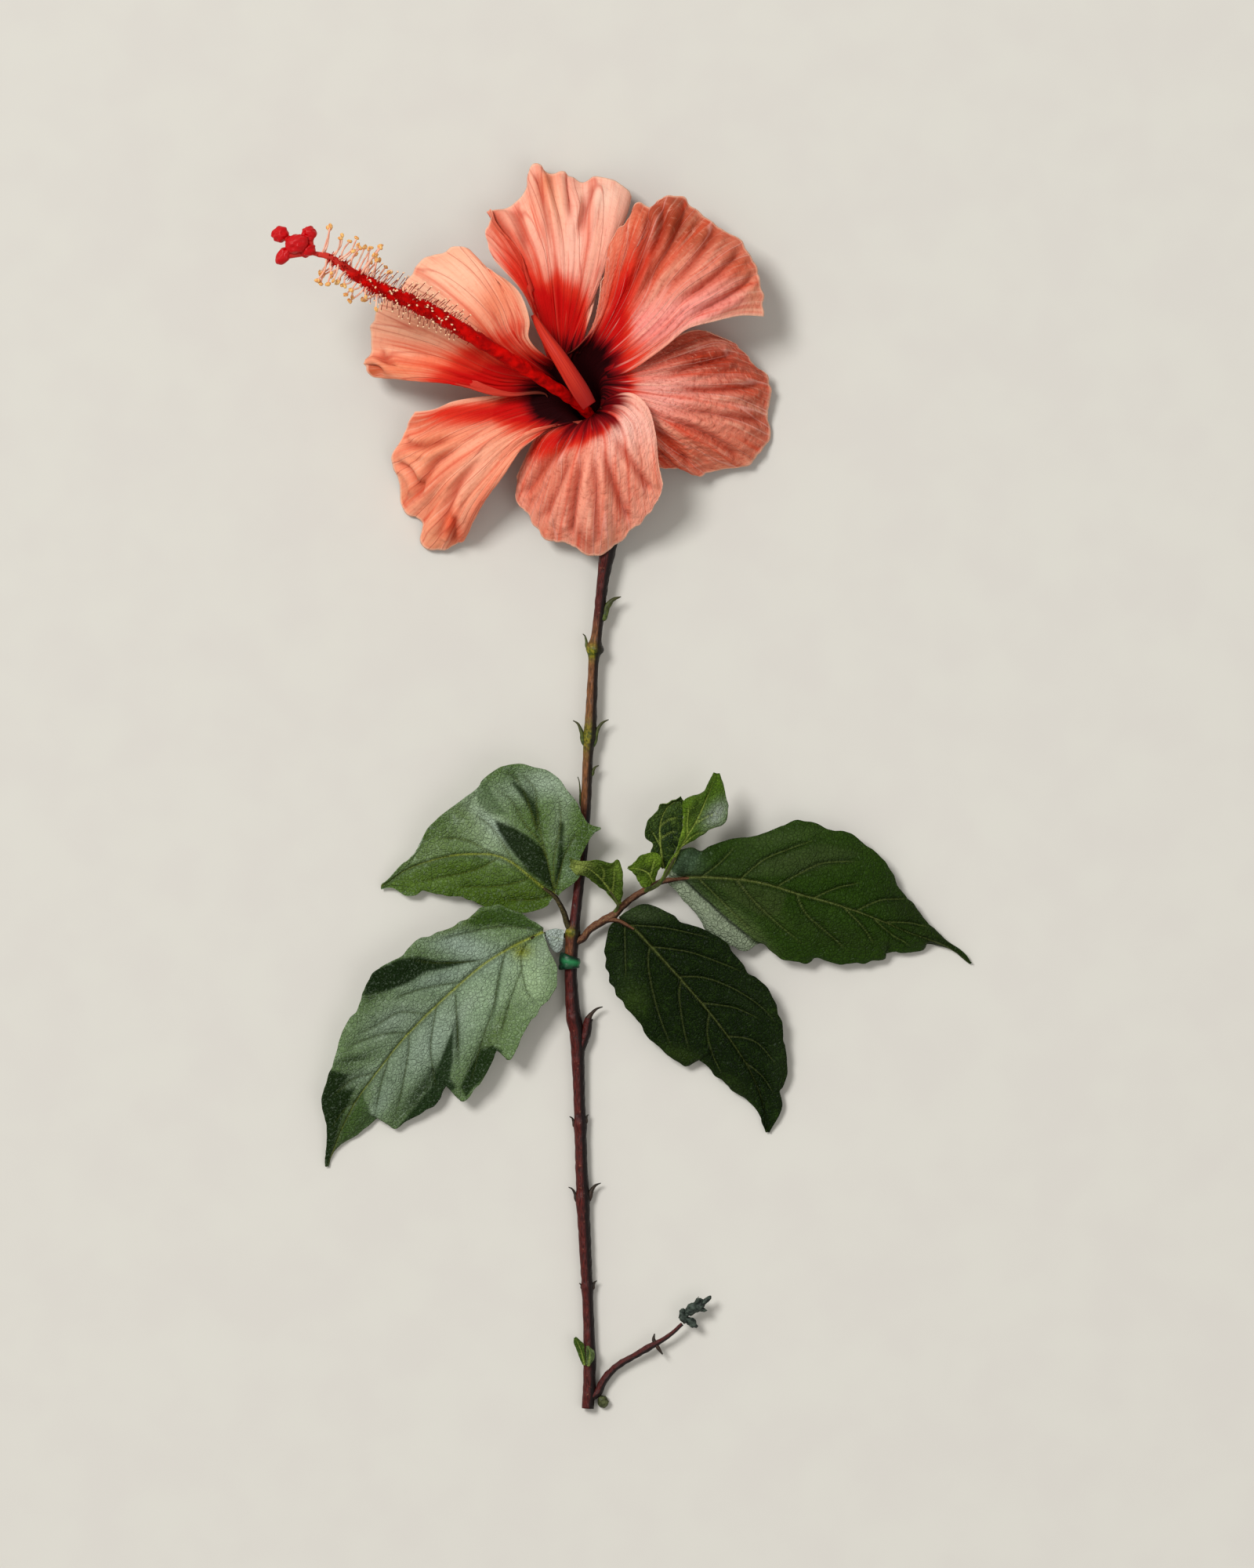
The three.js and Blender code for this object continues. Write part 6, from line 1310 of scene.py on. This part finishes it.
# ---------------------------------------------------------------- stem and branches
STEM_SHAPE = [
    [0, -11.8, 2.0, 1.95], [12, -11.2, 2.0, 2.0], [35, -11.8, 2.1, 1.75], [65, -13.3, 2.3, 2.05],
    [95, -14.4, 2.5, 1.85], [118, -15.2, 2.9, 2.2], [127, -16.5, 3.1, 2.3], [140, -17.2, 3.4, 2.0],
    [152, -16.6, 3.6, 2.2], [158, -15.7, 3.7, 1.65], [185, -12.9, 4.0, 1.65], [210, -11.7, 4.4, 1.65],
    [217, -11.0, 4.5, 1.9], [238, -10.0, 4.9, 1.65], [243, -9.6, 5.0, 2.5], [248, -8.9, 5.1, 1.7],
    [265, -6.9, 5.6, 1.9], [275, -5.3, 6.0, 2.6], [290, -1.6, 6.2, 2.3], [298, 0.9, 6.3, 2.2],
    [304.7, 1.7, 6.3, 2.2],
]
STEM_LENGTH = 304.7
# Swellings on the stem: height, half length and size.
STEM_KNOTS = ((152.4, 1.1, 0.35), (243, 1.6, 0.4), (90.5, 1.6, 0.3), (67, 2, 0.3), (38.6, 1.6, 0.25),
              (215, 4, 0.15), (17, 3, 0.2), (125, 2, 0.2))
# Yellow-green bands at the nodes: height, half length and strength.
GREEN_BANDS = ((215, 5, 0.9), (242, 2.6, 1.0), (152.5, 1.4, 0.9))


def stem_at(height):
    x, z, radius = smooth_rows(STEM_SHAPE, np.array([float(height)]))[0]
    return np.array([x, DRAWN_FOOT_Y + height, z]), radius


def around_tube(sides, steps):
    """Where each point of a tube sits round it: from its right side, and how far to the right, where the
    woods get painted shade.
    """
    angle = np.concatenate([np.tile(round_angles(sides), steps), [0, 0]])
    return {"around": np.abs(angle / math.pi - 1), "right": np.cos(angle) * 0.5 + 0.5}


def make_stem(woods):
    steps, sides = 520, 32
    heights = np.linspace(0, STEM_LENGTH, steps)
    x, z, radius = smooth_rows(STEM_SHAPE, heights).T
    knots = sum(size * np.exp(-((heights - place) / wide)**2) for place, wide, size in STEM_KNOTS)
    path = np.stack([x, DRAWN_FOOT_Y + heights, z], -1)
    points, faces, share = tube_mesh(path, radius + knots, sides, 0.07, 4)
    height = share * STEM_LENGTH
    band = lambda centre, half: np.exp(-((height - centre) / half)**2)
    green = sum(band(centre, half) * strength for centre, half, strength in GREEN_BANDS)
    rust = ease(188, 196, height) * ease(256, 246, height) * 0.8 + band(147, 3) * 0.5
    attributes = {**around_tube(sides, steps), "height": height, "green": np.clip(green, 0, 1),
                  "rust": np.clip(rust, 0, 1)}
    piece = new_object("main_stem_looks", points, faces, woods["bark"], attributes)
    finish_piece(piece, "main_stem")


def make_rod(name, points, radii, material, replaces=None, sides=16, steps=60, ripple=0.08, seed=1):
    """A tapering rod through points, with the radii spread evenly along it."""
    t = np.linspace(0, 1, steps)
    path = Curve(points).at(t)
    radius = np.interp(t, np.linspace(0, 1, len(radii)), radii)
    mesh, faces, share = tube_mesh(path, radius, sides, ripple, seed)
    attributes = {**around_tube(sides, steps), "height": share * 60, "green": share * 0, "rust": share * 0,
                  "tip": share}
    finish_piece(new_object(name, mesh, faces, material, attributes), replaces)


BRANCH = [
    [-16.2, -50.2, 3.6], [-13.1, -48.6, 3.6], [-11.1, -46.0, 4.1], [-6.5, -43.1, 4.7], [-3.5, -41.5, 5.0],
    [-0.7, -38.6, 5.4], [3.3, -35.4, 5.7], [9.3, -32.0, 6.2],
]
BRANCH_RADII = [1.5, 1.15, 1.25, 1.45, 1.15, 1.1, 1.0, 0.95]
TWIG = [
    [-10.4, -195.6, 2.0], [-8.4, -194.0, 2.0], [-6.8, -190.6, 2.2], [-4.2, -187.4, 2.5],
    [-1.0, -184.8, 2.9], [2.8, -182.7, 3.3], [7.0, -180.2, 3.8], [13.6, -176.4, 4.4],
    [18.4, -172.2, 4.9],
]
TWIG_RADII = [1.5, 1.3, 1.2, 1.1, 0.95, 1.15, 0.85, 0.7, 0.62]
TWIG_BRACTS = 0.72
# The two bracts on the twig, from where they leave it: their points and radii.
BRACTS = {
    "twig_bract_upper": ([[0, 0, 0], [-0.7, 1.4, 0.2], [-0.4, 3.2, 0.3]], [0.8, 0.55, 0.2]),
    "twig_bract_lower": ([[0, 0, 0], [0.9, -1.6, 0.2], [2.2, -3.4, 0.2]], [0.7, 0.6, 0.2]),
}
# The scar and its thorn, from the stem's right side at SCAR_HEIGHT: their points and radii.
SCAR_HEIGHT = 118.5
SCAR = ([[-1.6, -6.5, 0], [-0.5, -2, 0], [0.9, 3, 0], [1.6, 6.4, 0]], [0.7, 1.5, 1.7, 1.35])
THORN_FOOT = [1.4, 6.2, 0]
THORN = ([[0, 0, 0], [0.8, 1.4, 0.2], [2.6, 3.2, 0.3], [4.6, 3.9, 0.3]], [1.1, 0.6, 0.4, 0.16])
# Leaf stalks: their points, their radii and the wood that they are made of.
PETIOLES = {
    "petiole_upper_left": (
        [[-16.4, -46.8, 3.8], [-18.3, -44.2, 4.4], [-19.6, -40.2, 5.6], [-22.2, -35.6, 7.2],
         [-26, -32.7, 7.8]], [1.3, 1.0, 0.85, 0.7, 0.4], "petiole"),
    "petiole_lower_left": (
        [[-16.8, -48.4, 2.8], [-20.5, -47.8, 2.8], [-23.6, -47.2, 4.0], [-30, -48.8, 7.0]],
        [0.9, 0.7, 0.7, 0.35], "petiole"),
    "petiole_lower_right": (
        [[-7.4, -43.4, 4.5], [-4.8, -43.0, 5.4], [-1.6, -43.4, 6.3], [3, -46, 6.8]],
        [0.9, 0.75, 0.65, 0.35], "twig"),
    "petiole_right": (
        [[8.8, -32.2, 6.2], [11.6, -30.8, 6.5], [15.2, -30.1, 6.9], [21, -29.6, 7.6]],
        [0.95, 0.9, 0.75, 0.4], "twig"),
    "petiole_young_centre": (
        [[-3.6, -41.3, 5.0], [-2.6, -39.6, 6.4], [-2.2, -37.8, 8.2], [-4.6, -33.8, 9.2]],
        [0.7, 0.5, 0.45, 0.3], "sprig"),
    "petiole_young_bright": (
        [[6.4, -33.6, 6.0], [9.4, -32.4, 9.0], [12, -30, 12.4], [16, -23, 16.6]],
        [0.8, 0.7, 0.6, 0.4], "sprig"),
}
# The bud cluster: each lump's place from the twig's tip, its three half sizes and its turn.
BUD_LUMPS = [
    ((0.4, 2.4, 0.2), (1.5, 2.2, 1.3), 0.3), ((3.1, 0.4, 0), (2.5, 1.2, 1.0), -0.7),
    ((4.0, 5.2, 0.5), (3.4, 1.9, 1.5), 0.62), ((2.4, 4.2, 0.9), (1.6, 1.3, 1.1), 0.2),
    ((6.6, 4.6, 0.5), (1.5, 0.7, 0.7), -0.2), ((4.6, 7.0, 0.6), (1.6, 0.7, 0.8), 1.2),
    ((7.6, 7.4, 0.8), (2.1, 0.75, 0.7), 0.75), ((0.2, 4.2, 0.5), (0.9, 0.8, 0.7), 1.0),
]
# height: where it leaves the stem; side: -1 left, 1 right; reach: to its tip; radius at its foot.
STIPULES = [
    [253, 1, (5.6, 6.8), 1.05], [243.5, -1, (-1.4, 4.4), 0.5], [212.5, 1, (4.8, 8.0), 0.75],
    [213, -1, (-3.4, 7.2), 0.75], [203, 1, (2.2, 2.8), 0.55], [193, -1, (-1.0, 9.2), 0.35],
    [90.5, -1, (-1.6, 3.0), 0.55], [91.5, 1, (0.9, 2.6), 0.6], [66.5, -1, (-2.6, 4.4), 0.55],
    [67, 1, (3.8, 5.2), 0.75], [38.5, -1, (-0.9, 1.6), 0.4], [38.5, 1, (1.4, 2.4), 0.6],
]
GREEN_STIPULES = 6


def make_sprig(name, foot, side, reach, radius, material, replaces):
    """A stipule or bract: it grows out of the bark, swells and curls to a fine tip."""
    x, y = reach
    root = foot - np.array([side * (radius + 1.1), 0.8, 0])
    bend = foot + np.array([x * 0.2, y * 0.5, 0.1])
    knee = foot + np.array([x * 0.52, y * 0.84, 0.3])
    tip = foot + np.array([x, y, 0.4])
    radii = [radius * 0.7, radius, radius * 1.05, radius * 0.85, radius * 0.55, 0.14]
    make_rod(name, [root, foot, bend, knee, tip], radii, material, replaces, 14, 40, 0.12,
             int(abs(y) * 10))


def make_stipules(woods):
    for number, (height, side, reach, radius) in enumerate(STIPULES, 1):
        centre, stem_radius = stem_at(height)
        foot = centre + np.array([side * (stem_radius - radius * 0.1), 0, 0])
        material = woods["sprig" if number <= GREEN_STIPULES else "dark_sprig"]
        name = f"stipule_{number}"
        make_sprig(name + "_looks", foot, side, reach, radius, material, name)


def make_scar(woods):
    centre, radius = stem_at(SCAR_HEIGHT)
    out = centre + np.array([radius, 0, 0])
    make_rod("leaf_scar_looks", out + SCAR[0], SCAR[1], woods["bark"], "leaf_scar", 18, 40, 0.15)
    make_rod("scar_thorn_looks", out + THORN_FOOT + THORN[0], THORN[1], woods["dark_sprig"],
             "scar_thorn", 12, 30)


def make_branches(woods):
    make_rod("side_branch_looks", BRANCH, BRANCH_RADII, woods["twig"], "side_branch", 20, 90, 0.12)
    make_rod("base_twig_looks", TWIG, TWIG_RADII, woods["bark"], "base_twig", 20, 110, 0.12)
    foot = Curve(TWIG).at(np.array(TWIG_BRACTS))
    for name, (points, radii) in BRACTS.items():
        make_rod(name + "_looks", foot + points, radii, woods["dark_sprig"], name, 12, 24)
    for name, (points, radii, wood) in PETIOLES.items():
        if wood == "sprig":
            make_rod(name, points, radii, woods[wood], sides=10, steps=24)
        else:
            make_rod(name, points, radii, woods[wood])


def make_buds():
    """The dark cluster at the twig's tip, and the small bud at the cut."""
    bud = Parts()
    for k, (offset, radii, turn) in enumerate(BUD_LUMPS):
        bud.ball(0.0, np.array(TWIG[-1]) + offset, radii, turn, 16, 24, 0.32, k + 60)
    dusky = plain_material("bud", (16, 22, 20), (66, 78, 68), 900.0, (0.35, 0.55), 0.0006)
    finish_piece(bud.make("twig_tip_bud_looks", dusky), "twig_tip_bud")
    basal = Parts()
    centre = (bud_low + bud_high) / 2 - SHIFT
    basal.ball(0.0, centre, (1.75, 2.0, 1.5), 0.25, 24, 32, 0.1, 81)
    for k, shift in enumerate(((-0.5, 0.5, 0.5), (0.6, -0.3, 0.5))):
        basal.ball(0.0, centre + shift, (1.1, 1.4, 1.1), 0.4 - k, 16, 24, 0.12, 82 + k)
    olive = plain_material("basal", (40, 44, 22), (84, 90, 52), 900.0, (0.4, 0.6), 0.0005)
    finish_piece(basal.make("base_bud_looks", olive), "base_bud")


def revolve(profile, sides, centre, axis, guide):
    """Points and faces of a closed profile of [radius, height] turned round an axis."""
    axis, guide = np.array(axis, float), np.array(guide, float)
    axis /= np.linalg.norm(axis)
    guide -= axis * (guide @ axis)
    guide /= np.linalg.norm(guide)
    other = np.cross(axis, guide)
    angle = round_angles(sides)
    out = np.cos(angle)[:, None] * guide + np.sin(angle)[:, None] * other
    profile = np.asarray(profile, float)
    if profile.ndim == 2:
        profile = np.repeat(profile[None], sides, 0)
    points = out[:, None] * profile[..., :1] + axis * profile[..., 1:] + np.array(centre)
    count = profile.shape[1]
    i, k = np.meshgrid(np.arange(sides), np.arange(count), indexing="ij")
    a, b = i * count + k, ((i + 1) % sides) * count + k
    c, d = ((i + 1) % sides) * count + (k + 1) % count, i * count + (k + 1) % count
    return points.reshape(-1, 3), np.stack([a, b, c, d], -1).reshape(-1, 4).tolist()


COLLAR_HEIGHT = 143.4
COLLAR_LEAN = 0.12
COLLAR_WALL = 1.4
COLLAR_HALF = 1.9


def make_collar():
    centre, radius = stem_at(COLLAR_HEIGHT)
    inner, outer = radius + 0.05, radius + COLLAR_WALL
    shape = np.array([[inner, -1], [outer * 0.93, -1], [outer, -0.75], [outer * 0.94, -0.35],
                      [outer * 1.02, 0.1], [outer, 0.7], [outer * 0.9, 1], [inner, 1]])
    sides = 48
    width = COLLAR_HALF * (1.15 - 0.35 * np.cos(round_angles(sides)))
    profile = np.repeat(shape[None], sides, 0)
    profile[..., 1] *= width[:, None]
    axis = np.array([math.sin(COLLAR_LEAN), math.cos(COLLAR_LEAN), 0])
    middle = np.array([centre[0] - 0.5, centre[1] - 0.5, max(centre[2], outer + 0.1)])
    points, faces = revolve(profile, sides, middle, axis, (1, 0, 0))
    # Painted highlight: a lighter band round the collar's middle, fading out at its left edge, given as the
    # tip attribute.
    lit = ease(1.2, 0.0, np.abs((points - middle) @ axis)) * ease(-3.4, -1.0, points[:, 0] - middle[0])
    green = plain_material("collar", (3, 24, 14), (10, 60, 34), 700.0, (0.25, 0.45), 0.0003, (36, 128, 74))
    finish_piece(new_object("stem_collar_looks", points, faces, green, {"tip": lit}),
                 "stem_collar")


# Closed profiles of [radius, height over the ring where the petals start].
CUP_PROFILE = [[2.5, -11], [4.6, -7.6], [6.4, -1.5], [6.7, 0.4], [6.2, 0.4], [5.7, -1.5], [4.4, -6.6],
               [1.6, -10]]
BRACT_PROFILE = [[5.6, -7.4], [6.6, -7.2], [8.2, -3.2], [7.7, -3.0], [6.4, -5.4], [5.6, -6.9]]


def make_calyx():
    """The green cup under the bloom and the ring of bracts outside it, with pointed lobes."""
    sides = 120
    angle = round_angles(sides)
    material = plain_material("calyx", (66, 84, 30), (112, 134, 56), 600.0, (0.5, 0.7), 0.0004,
                              (144, 156, 84))
    for name, profile, lobes, rise, tips in (("calyx", CUP_PROFILE, 5, 4.5, (3, 4)),
                                             ("epicalyx", BRACT_PROFILE, 7, 3.2, (2, 3))):
        profile = np.array(profile)
        shape = np.repeat(profile[None], sides, 0)
        lobe = np.abs(np.cos(lobes * angle / 2))
        for k in tips:
            shape[:, k, 1] += rise * lobe**1.4
        ribs = 1 + 0.03 * np.cos(angle * lobes * 3)
        shape[..., 0] *= ribs[:, None]
        points, faces = revolve(shape, sides, RING_CENTRE, TUBE_AXIS, TUBE_ACROSS)
        tip = np.tile(ease(-4, 4, profile[:, 1]), sides) * 0.6
        finish_piece(new_object(name + "_looks", points, faces, material, {"tip": tip}), name)


# ---------------------------------------------------------------- assembly
petal = petal_material()
for petal_name, petal_facts in PETALS.items():
    make_petal(petal_name, petal_facts, petal)
make_strip()
make_column()
make_style()
pale_green = leaf_material("pale_green", (26, 42, 12), (180, 198, 174), (150, 156, 48))
dark_green = leaf_material("dark_green", (5, 14, 1), (58, 86, 18), (104, 112, 58))
young_green = leaf_material("young_green", (24, 38, 6), (128, 156, 60), (168, 184, 84))
LEAF_GRID = (176, 131)
YOUNG_GRID = (50, 41)
for leaf_name, leaf_facts in LEAVES.items():
    material = pale_green if leaf_name.endswith("_left") else dark_green
    make_leaf(leaf_name, leaf_facts, material, LEAF_GRID)
for leaf_name, leaf_facts in YOUNG_LEAVES.items():
    material = pale_green if leaf_name == "leaf_sheath" else young_green
    make_leaf(leaf_name, leaf_facts, material, YOUNG_GRID)
woods = {
    "bark": bark_material(),
    "twig": twig_material("twig", (70, 36, 26), (122, 84, 56)),
    "petiole": twig_material("petiole", (24, 20, 10), (78, 70, 38)),
    "sprig": plain_material("sprig", (46, 60, 22), (96, 112, 44), 700.0, (0.45, 0.6), 0.0004,
                            (58, 56, 28)),
    "dark_sprig": plain_material("dark_sprig", (30, 16, 12), (72, 46, 32), 900.0, (0.4, 0.6), 0.0004,
                                 (36, 34, 24)),
}
make_stem(woods)
make_stipules(woods)
make_scar(woods)
make_branches(woods)
make_buds()
make_collar()
make_calyx()


# ---------------------------------------------------------------- floor, light and camera
FLOOR_HALF = 3.0
FLOOR_DEPTH = -0.0002
SKY_STRENGTH = 0.42
# Each lamp: its name, place in metres, size and power.
LAMPS = (("key", (-2.6, 2.2, 5.0), 1.9, 262.0), ("fill", (2.4, -1.6, 4.6), 3.0, 28.0))
CAMERA_Y = 0.625 * MM
PLANT_PLANE = 0.015
VIEW_HEIGHT = 0.5
LENS, SENSOR = 240.0, 36.0


def make_floor():
    half, depth = FLOOR_HALF, FLOOR_DEPTH
    corners = [(-half, -half, depth), (half, -half, depth), (half, half, depth), (-half, half, depth)]
    mesh = bpy.data.meshes.new("floor")
    mesh.from_pydata(corners, [], [(0, 1, 2, 3)])
    n = Nodes("floor")
    grain = n.noise(n.place(), 40.0, 2.0)
    n.base = n.mix(n.between(grain, 0.3, 0.7), (215, 212, 203), (213, 209, 201))
    mesh.materials.append(n.finish(0.9, Specular_IOR_Level=0.1))
    floor = bpy.data.objects.new("floor", mesh)
    bpy.context.scene.collection.objects.link(floor)


def make_light():
    world = bpy.data.worlds.new("studio")
    world.use_nodes = True
    sky = world.node_tree.nodes["Background"]
    sky.inputs["Color"].default_value = (1.0, 0.985, 0.95, 1)
    sky.inputs["Strength"].default_value = SKY_STRENGTH
    bpy.context.scene.world = world
    for name, place, size, power in LAMPS:
        lamp = bpy.data.lights.new(name, "AREA")
        lamp.size = size
        lamp.energy = power
        light = bpy.data.objects.new(name, lamp)
        light.location = place
        light.rotation_euler = look_down(place)
        bpy.context.scene.collection.objects.link(light)


def look_down(place):
    """Turns a lamp at place towards the origin."""
    x, y, z = place
    return (math.atan2(math.hypot(x, y), z), 0.0, math.atan2(x, -y))


def make_camera():
    """Straight above, far away, framing half a metre of the plant's length."""
    camera = bpy.data.cameras.new("camera")
    camera.lens = LENS
    camera.sensor_fit = "VERTICAL"
    camera.sensor_height = SENSOR
    camera.clip_end = 50
    holder = bpy.data.objects.new("camera", camera)
    holder.location = (0, CAMERA_Y, PLANT_PLANE + VIEW_HEIGHT * LENS / SENSOR)
    bpy.context.scene.collection.objects.link(holder)
    bpy.context.scene.camera = holder


make_floor()
make_light()
make_camera()
bpy.context.scene.view_settings.view_transform = "Standard"
